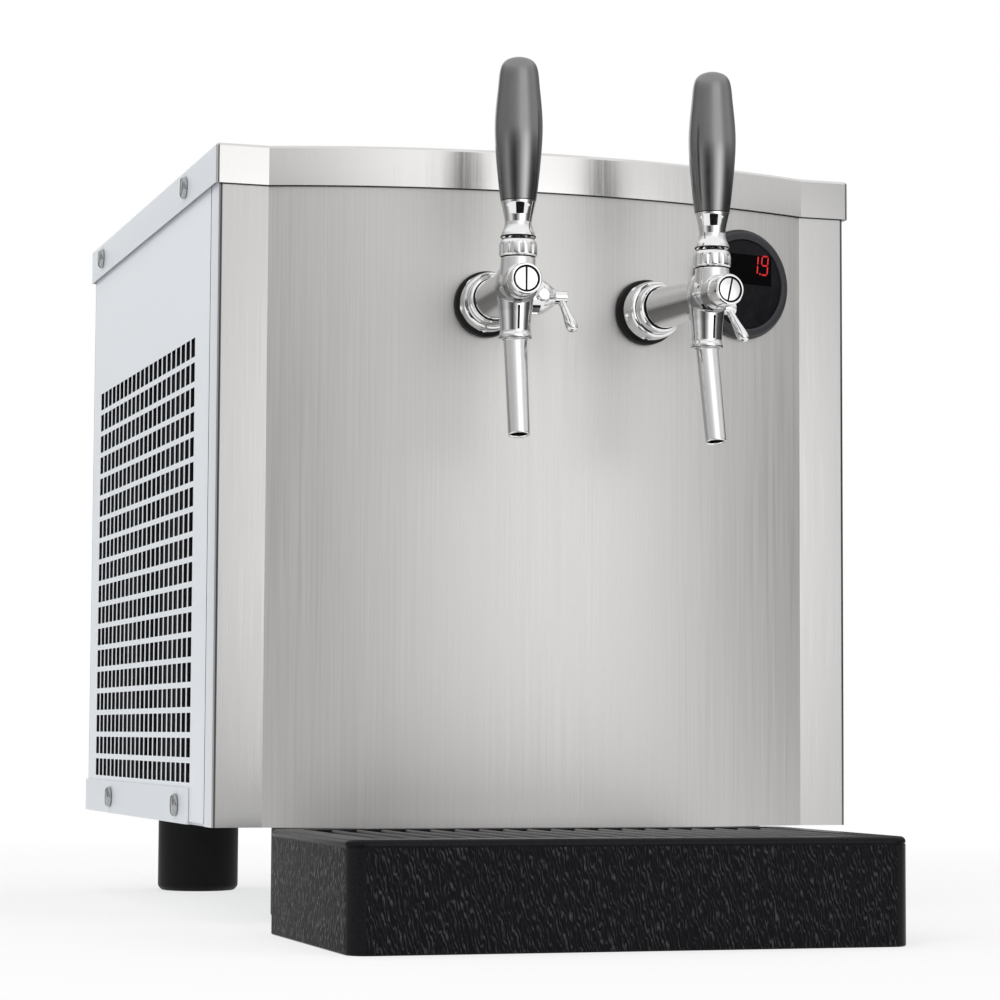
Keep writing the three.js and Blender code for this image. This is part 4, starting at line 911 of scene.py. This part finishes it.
# %% Compensator of a tap, and the finished shapes
def dome_nut_shape():
    dome = at(turned("dome", softened(
        [(2.8, 14.3), (10.2, 14.3), (10.75, 15), (10.75, 22.2), (10.2, 24.6), (8.6, 27.6), (6.2, 30.6),
         (5.5, 32), (2.8, 32), (2.8, 14.3)], 0.6, 4), 72), BOSS_AT, turn=SIDEWAYS)
    stop = turned("stop", softened([(0, 6), (4, 6), (4, 12.2), (3.2, 13), (0, 13)], 0.5), 32)
    stop.matrix_world = shifted(23.4, -BOSS_AT, 0) @ OUTWARD
    flats = []
    for i in range(6):
        flat = prism("flat", ((9.7, -3.1), (13, -3.1), (13, 3.1), (9.7, 3.1)), (16.6, 22.2))
        flats.append(at(flat, BOSS_AT, turn=SIDEWAYS @ Matrix.Rotation(radians(60 * i + 30), 4, "Z")))
    return merged("dome_nut", [carve(dome, flats), stop])


def side_lever_shape():
    pin = at(turned("pin", softened(
        [(0, 7.2), (4.4, 7.2), (4.4, 14), (2.5, 14), (2.5, 32.3), (4, 32.3), (4, 39.8), (0, 39.8)], 0.4), 40),
        BOSS_AT, turn=SIDEWAYS)
    crank = at(rod("crank", 1.3, 4.2, 7.5, 16), BOSS_AT - 0.75, 2.8, SIDEWAYS)
    grip = turned("grip", softened(
        [(0, 0), (2.4, 0), (2.2, -7), (2.6, -12), (3.3, -18), (3.5, -21.2), (3.1, -23.4), (1.6, -24.8),
         (0, -25.0)], 1.2, 4), 40)
    lean = Matrix.Rotation(radians(-30), 4, "X") @ Matrix.Rotation(radians(-12), 4, "Y")
    grip.matrix_world = shifted(36.05, -BOSS_AT, 0) @ lean
    return merged("side_lever", [pin, crank, grip])


SHAPES = {"front_cap": cap_shape(), "nozzle": nozzle_shape(), "compensator_nut": dome_nut_shape(),
          "compensator_lever": side_lever_shape()}
for key, thing in SHAPES.items():
    SHAPES[key] = shape_of(thing)
    crisp(SHAPES[key], 38)
print("tap shapes:", ", ".join(SHAPES))

# %% [markdown]
# ## Both taps
# Now each tap gets its pieces, on the bow's slope at its own place. Narrow gaps that light doesn't reach,
# such as the cap's slot and the steps of the flange nut, are painted black inside with the rubber finish:
# painted shade. A test on a face's place in the piece picks them out.

# %% Put both taps together
def cap_gap(spot, outward):
    out = hypot(spot.x, spot.z)
    slot = abs(spot.x) < 0.55 and out < 6.6 and 108.5 < -spot.y < 109.3
    return slot or (6.6 < out < 7.65 and 108.2 < -spot.y < 109.5)


def flange_step(spot, outward):
    return (14.5 < hypot(spot.x, spot.z) < 15.35 and 18.2 < -spot.y < 19.0) or -spot.y > 25.15


def outlet_groove(spot, outward):
    return abs(spot.x) < 0.75 and -26 < spot.z < -12.5 and -spot.y > OUTLET_AT


# Faces picked here take the black rubber finish as painted shade.
PAINTED_SHADE_FACES = {
    "front_cap": cap_gap,
    "flange_nut": flange_step,
    "body": outlet_groove,
    "collar_nut": lambda spot, outward: spot.z < -4.5,
    "lever": lambda spot, outward: hypot(spot.x, spot.y) > 9.0 and 6.1 < spot.z < 7.1,
}
RIGHT_CAP_TURN = Matrix.Rotation(radians(12), 4, "Y")
seal_profile = softened(
    [(8.3, 0.3), (19.4, 0.3), (19.75, 1.2), (19.5, 5.8), (18.2, 7.3), (8.3, 7.3), (8.3, 0.3)], 0.6, 3)


def chromed(thing, place, side, solid, finish=chrome, body="machine"):
    """A chrome piece of a tap, painted black where light doesn't reach: painted shade."""
    fit(thing, place, finish, [f"{side}_tap_{solid}"], body)
    if solid in PAINTED_SHADE_FACES:
        sorted_faces(thing, PAINTED_SHADE_FACES[solid], rubber)


for side, x in zip(SIDES, (LEFT_TAP, RIGHT_TAP)):
    place = bow_place(x, TAP_Z)
    pivot = place @ shifted(0, -REACH, PIVOT)
    gasket = along_barrel(turned(f"{side}_seal", seal_profile, 96))
    fit(gasket, place, rubber, [f"{side}_tap_gasket"])
    chromed(added(f"{side}_flange", flange_mesh), place, side, "flange_nut")
    chromed(added(f"{side}_cast", cast_mesh), place, side, "body", cast_chrome)
    cap_place = place @ RIGHT_CAP_TURN if side == "right" else place
    chromed(added(f"{side}_front_cap", SHAPES["front_cap"]), cap_place, side, "front_cap")
    for solid in ("nozzle", "compensator_nut"):
        chromed(added(f"{side}_{solid}", SHAPES[solid]), place, side, solid)
    chromed(added(f"{side}_side_lever", SHAPES["compensator_lever"]), place, side, "compensator_lever",
            body=f"{side}_compensator")
    chromed(added(f"{side}_collar", collar_mesh), pivot, side, "collar_nut")
    chromed(turned(f"{side}_pull", lever_profile), pivot, side, "lever", body=f"{side}_handle")
    fit(turned(f"{side}_grip", spindle, 72), pivot, handle_black, [f"{side}_tap_handle"],
        f"{side}_handle")
    print(side, "tap at x", x)

# %% [markdown]
# ## The drip tray
# The tray is moulded in black plastic: grained walls, a smooth rounded bead along the top edge and the
# corners, a recess for the grid and a basin below it. Rounded rectangles at different heights make all of
# them in one skin. The walls are hollow from below.

# %% Tray body
TRAY_W, TRAY_D, TRAY_H, TRAY_CORNER = 308.0, 182.0, 58.0, 11.0
TRAY_X, TRAY_Y = -30.0, -78.0 - TRAY_D / 2
BEAD, BEAD_STEPS, RIM = 2.8, 6, 16
GRID_DROP, ROD, CROSS, WELD = 0.4, 3.6, 3.0, 0.7
recess = TRAY_H - (GRID_DROP + ROD - WELD + CROSS + 0.3)


def round_rect(inset, z, corner, steps=8):
    points = []
    half_w, half_d = TRAY_W / 2 - inset - corner, TRAY_D / 2 - inset - corner
    for quarter, (sx, sy) in enumerate(((1, 1), (-1, 1), (-1, -1), (1, -1))):
        for i in range(steps + 1):
            angle = pi / 2 * (quarter + i / steps)
            points.append((sx * half_w + corner * cos(angle), sy * half_d + corner * sin(angle), z))
    return points


def wall_ring(inset, z):
    return round_rect(inset, z, TRAY_CORNER - inset)


rings = [round_rect(3, 0, 8), wall_ring(0.6, 0), wall_ring(0, 0.6)]
rings += [wall_ring(0, z) for z in (15, 30, 45, TRAY_H - 4.2)]
rings += [round_rect(0.35, TRAY_H - z, 10.7) for z in (3.9, 3.5)] + [wall_ring(0, TRAY_H - 3.2)]
for turn in quarter_turn(BEAD_STEPS):
    rings.append(wall_ring(BEAD * (1 - cos(turn)), TRAY_H - BEAD * (1 - sin(turn))))
rings += [round_rect(*ring) for ring in (
    (RIM - 0.8, TRAY_H, 2.4), (RIM, TRAY_H - 0.8, 1.6), (RIM, recess, 1.6), (21.4, recess, 4.0),
    (22, recess - 0.6, 4.0), (22.4, 6, 4.0), (24.5, 4, 3.0))]
tray = skin("tray", rings, close_start=False, sharp=30)
hollow = ((24.5, 0, 3), (19, 0, 4), (19, recess - 3, 4), (3, recess - 3, 8), (3, 0, 8))
under = skin("under", [round_rect(*ring) for ring in hollow], close_end=False, sharp=30)
tray = merged("tray_shell", [tray, under])
crisp(tray.data, 30)
fit(tray, cabinet_place(TRAY_X, TRAY_Y, -FOOT), tray_grain, ["drip_tray"], "drip_tray")
print("tray faces:", len(tray.data.polygons))

# %% Grained walls, smooth bead and corners
GRAINED, SMOOTH = range(2)


def tray_part(middle, outward):
    flat_side = max(abs(outward.x), abs(outward.y)) > 0.995
    outside = abs(middle.x) > TRAY_W / 2 - 1 or abs(middle.y) > TRAY_D / 2 - 1
    return GRAINED if flat_side and outside and 1.0 < middle.z < TRAY_H - 4.3 else SMOOTH


sorted_faces(tray, tray_part, tray_smooth)
print("grained faces:", sum(face.material_index == GRAINED for face in tray.data.polygons))

# %% [markdown]
# ## The wire grid
# The grid is welded from round wire: twenty rods lie over three cross bars and sink into them a little
# where they are welded. Each wire is a thin turned bar with slightly rounded ends, laid along or across.

# %% Rods and cross bars
RODS, BAR_INSET = 20, 3.2
REACH_X, REACH_Y = TRAY_W / 2 - RIM - 1, TRAY_D / 2 - RIM - 1
rod_z = TRAY_H - GRID_DROP - ROD / 2
cross_z = TRAY_H - GRID_DROP - ROD + WELD - CROSS / 2


def wire(diameter, reach, place, turn):
    profile = softened([(0, -reach), (diameter / 2, -reach), (diameter / 2, reach), (0, reach)], 0.8, 4)
    thing = turned("wire", profile, 16)
    thing.matrix_world = shifted(*place) @ turn
    return thing


outermost = REACH_X - ROD / 2
wires = [wire(ROD, REACH_Y, (-outermost + i * 2 * outermost / (RODS - 1), 0, rod_z), OUTWARD)
         for i in range(RODS)]
wires += [wire(CROSS, REACH_X, (0, k * (REACH_Y - BAR_INSET), cross_z), SIDEWAYS) for k in (-1, 0, 1)]
grid = merged("wire_grid", wires)
crisp(grid.data, 40)
fit(grid, cabinet_place(TRAY_X, TRAY_Y, -FOOT), wire_black, ["drip_grid"], "drip_grid")
print("grid faces:", len(grid.data.polygons))

# %% [markdown]
# ## Room and floor
# The room is white to the camera and in mirrors, as the photograph's is, and a little dimmer as a source
# of light, which leaves the lamps their part. The floor is a pale sheet that takes the object's shadow near
# it and fades into plain white further out.

# %% White room
def seen_by(finish, *rays):
    """1 where one of these kinds of ray arrives, and 0 elsewhere."""
    path = node(finish, "LightPath")
    value = path[rays[0]]
    for ray in rays[1:]:
        value = maths(finish, "MAXIMUM", value, path[ray])
    return value


world = bpy.data.worlds.new("room")
bpy.context.scene.world = world
world.use_nodes = True
sky = world.node_tree.nodes["Background"]
seen = seen_by(world, "Is Camera Ray", "Is Glossy Ray", "Is Transmission Ray")
feed(sky, ("Color", (1, 1, 1)), ("Strength", spread(world, seen, 0.55, 1.0, 0, 1)))
print("room ready")

# %% Floor that keeps the shadow
FLOOR_HALF = 9000
floor_finish, floor_shader = new_finish("floor", (0.92, 0.92, 0.92), 0.9)
away = node(floor_finish, "VectorMath", (0, stretched(floor_finish, (1, 1, 1))), operation="LENGTH")
fade = spread(floor_finish, away["Value"], 0.68, 1.0, 0.35, 1.3)
share = maths(floor_finish, "MULTIPLY", seen_by(floor_finish, "Is Camera Ray", "Is Glossy Ray"), fade)
white = node(floor_finish, "Emission")
mix = node(floor_finish, "MixShader", (0, share), (1, floor_shader.outputs["BSDF"]), (2, white["Emission"]))
feed(floor_finish.node_tree.nodes["Material Output"], ("Surface", mix["Shader"]))
corners = [(x * FLOOR_HALF, y * FLOOR_HALF, 0) for x, y in ((-1, -1), (1, -1), (1, 1), (-1, 1))]
floor = skin("floor", [corners], close_start=False)
floor.data.materials.append(floor_finish)
print("floor ready")

# %% [markdown]
# ## Lamps
# Three broad soft lamps light the pieces evenly, from the front left, the front right and above. Mirrors
# don't see them: what the steel and the chrome show is drawn by the wall of the next step.

# %% Soft lamps
LAMPS = (
    ("key", (-1.8, -1.9, 1.9), (1.4, 1.4), 26),
    ("fill", (2.0, -1.6, 1.1), (1.2, 1.6), 12),
    ("top", (0.0, 0.2, 2.4), (1.6, 1.6), 14),
)
LAMP_AIM = Vector((0, 0, 0.25))
for name, spot, (width, height), power in LAMPS:
    lamp = bpy.data.lights.new(name, "AREA")
    lamp.shape = "RECTANGLE"
    lamp.size, lamp.size_y = width, height
    lamp.energy = power
    holder = added(name, lamp)
    holder.location = spot
    holder.rotation_euler = (LAMP_AIM - Vector(spot)).to_track_quat("-Z", "Y").to_euler()
    holder.visible_glossy = False
print("lamps:", len(LAMPS))

# %% [markdown]
# ## The wall that metal mirrors
# Steel and chrome are pictures of what stands around them. A round wall, which only reflections meet, is
# graded by its angle: bright before the front, dark in between, pale again behind. One row of values, in
# degrees and brightness, holds for its foot and one for its upper part; higher up it turns plain white.

# %% Graded wall
BRIGHTEST = 2.4
WALL_RADIUS, WALL_FOOT, WALL_TOP, WALL_CENTRE = 2400.0, 10, 2600, (0, -0.1, 0)
LOW_STOPS = ((-180, 1.18), (-165, 1.18), (-150, 0.05), (-110, 0.30), (-75, 0.80), (-52, 0.18), (-35, 0.06),
             (-15, 0.52), (3, 1.62), (20, 2.40), (34, 1.48), (46, 0.45), (60, 0.10), (100, 0.04),
             (150, 0.04), (165, 1.18), (180, 1.18))
HIGH_STOPS = ((-180, 1.34), (-165, 1.34), (-150, 0.30), (-110, 0.50), (-75, 0.50), (-40, 0.63),
              (-22, 0.85), (-15, 1.09), (-4, 1.32), (20, 1.40), (33, 0.97), (45, 0.71), (75, 0.75),
              (105, 0.40), (150, 0.30), (165, 1.34), (180, 1.34))


def round_the_room(finish, angle, stops):
    """Brightness by angle, from degrees and brightness pairs."""
    low, high = stops[0][0], stops[-1][0]
    places = [((degrees - low) / (high - low), shade / BRIGHTEST) for degrees, shade in stops]
    return ramp(finish, spread(finish, angle, 0, 1, radians(low), radians(high)), places)


def reflected_strip(name, low, high, finish):
    """A sheet between two rows of points that only reflections meet."""
    mesh = bpy.data.meshes.new(name)
    count = len(low)
    mesh.from_pydata([Vector(p) * MM for p in low + high], [],
                     [(i, i + 1, count + i + 1, count + i) for i in range(count - 1)])
    mesh.materials.append(finish)
    sheet = added(name, mesh)
    for flag in ("visible_camera", "visible_diffuse", "visible_shadow", "visible_transmission"):
        setattr(sheet, flag, False)
    return sheet


glow_wall = bpy.data.materials.new("glow_wall")
glow_wall.use_nodes = True
glow_wall.node_tree.nodes.remove(glow_wall.node_tree.nodes["Principled BSDF"])
place = axes(glow_wall, "Object")
angle = maths(glow_wall, "ARCTAN2", place["X"], maths(glow_wall, "MULTIPLY", place["Y"], -1.0))
foot, upper = (round_the_room(glow_wall, angle, stops) for stops in (LOW_STOPS, HIGH_STOPS))
lower_wall = tint(glow_wall, spread(glow_wall, place["Z"], 0, 1, 0.6, 0.84), foot, upper)
whole_wall = tint(glow_wall, spread(glow_wall, place["Z"], 0, 1, 1.4, 2.5), lower_wall, (1 / BRIGHTEST,) * 3)
light = node(glow_wall, "Emission", ("Color", whole_wall), ("Strength", BRIGHTEST))
feed(glow_wall.node_tree.nodes["Material Output"], ("Surface", light["Emission"]))
circle = [radians(a) for a in range(-180, 181, 3)]
wall = reflected_strip("wall", around(WALL_RADIUS, WALL_FOOT, circle), around(WALL_RADIUS, WALL_TOP, circle),
                       glow_wall)
wall.location = WALL_CENTRE
print("wall ready")

# %% [markdown]
# ## The dark walkway
# Low on the taps and the front, the real metal mirrors a dark floor some way before it. A dark sector just
# above the white floor, again met by reflections alone, gives that band.

# %% Dark walkway
WALKWAY_HEIGHT, NEAR, FAR = 9.0, 1100.0, 2300.0
walkway_dark, walkway_shader = new_finish("aisle_dark", (0.01, 0.01, 0.01), 0.9, shine=0.0)
grain = spread(walkway_dark, noise(walkway_dark, 4), 0, 1)
feed(walkway_shader, ("Base Color", tint(walkway_dark, grain, (0.008,) * 3, (0.014,) * 3)))
sector = [radians(a) for a in range(-32, 24, 2)]
reflected_strip("aisle", around(FAR, WALKWAY_HEIGHT, sector), around(NEAR, WALKWAY_HEIGHT, sector),
                walkway_dark)
print("walkway laid")

# %% [markdown]
# ## Finish
# The colours are shown as they are, without a film look.

# %% Colours as written
bpy.context.scene.view_settings.view_transform = "Standard"
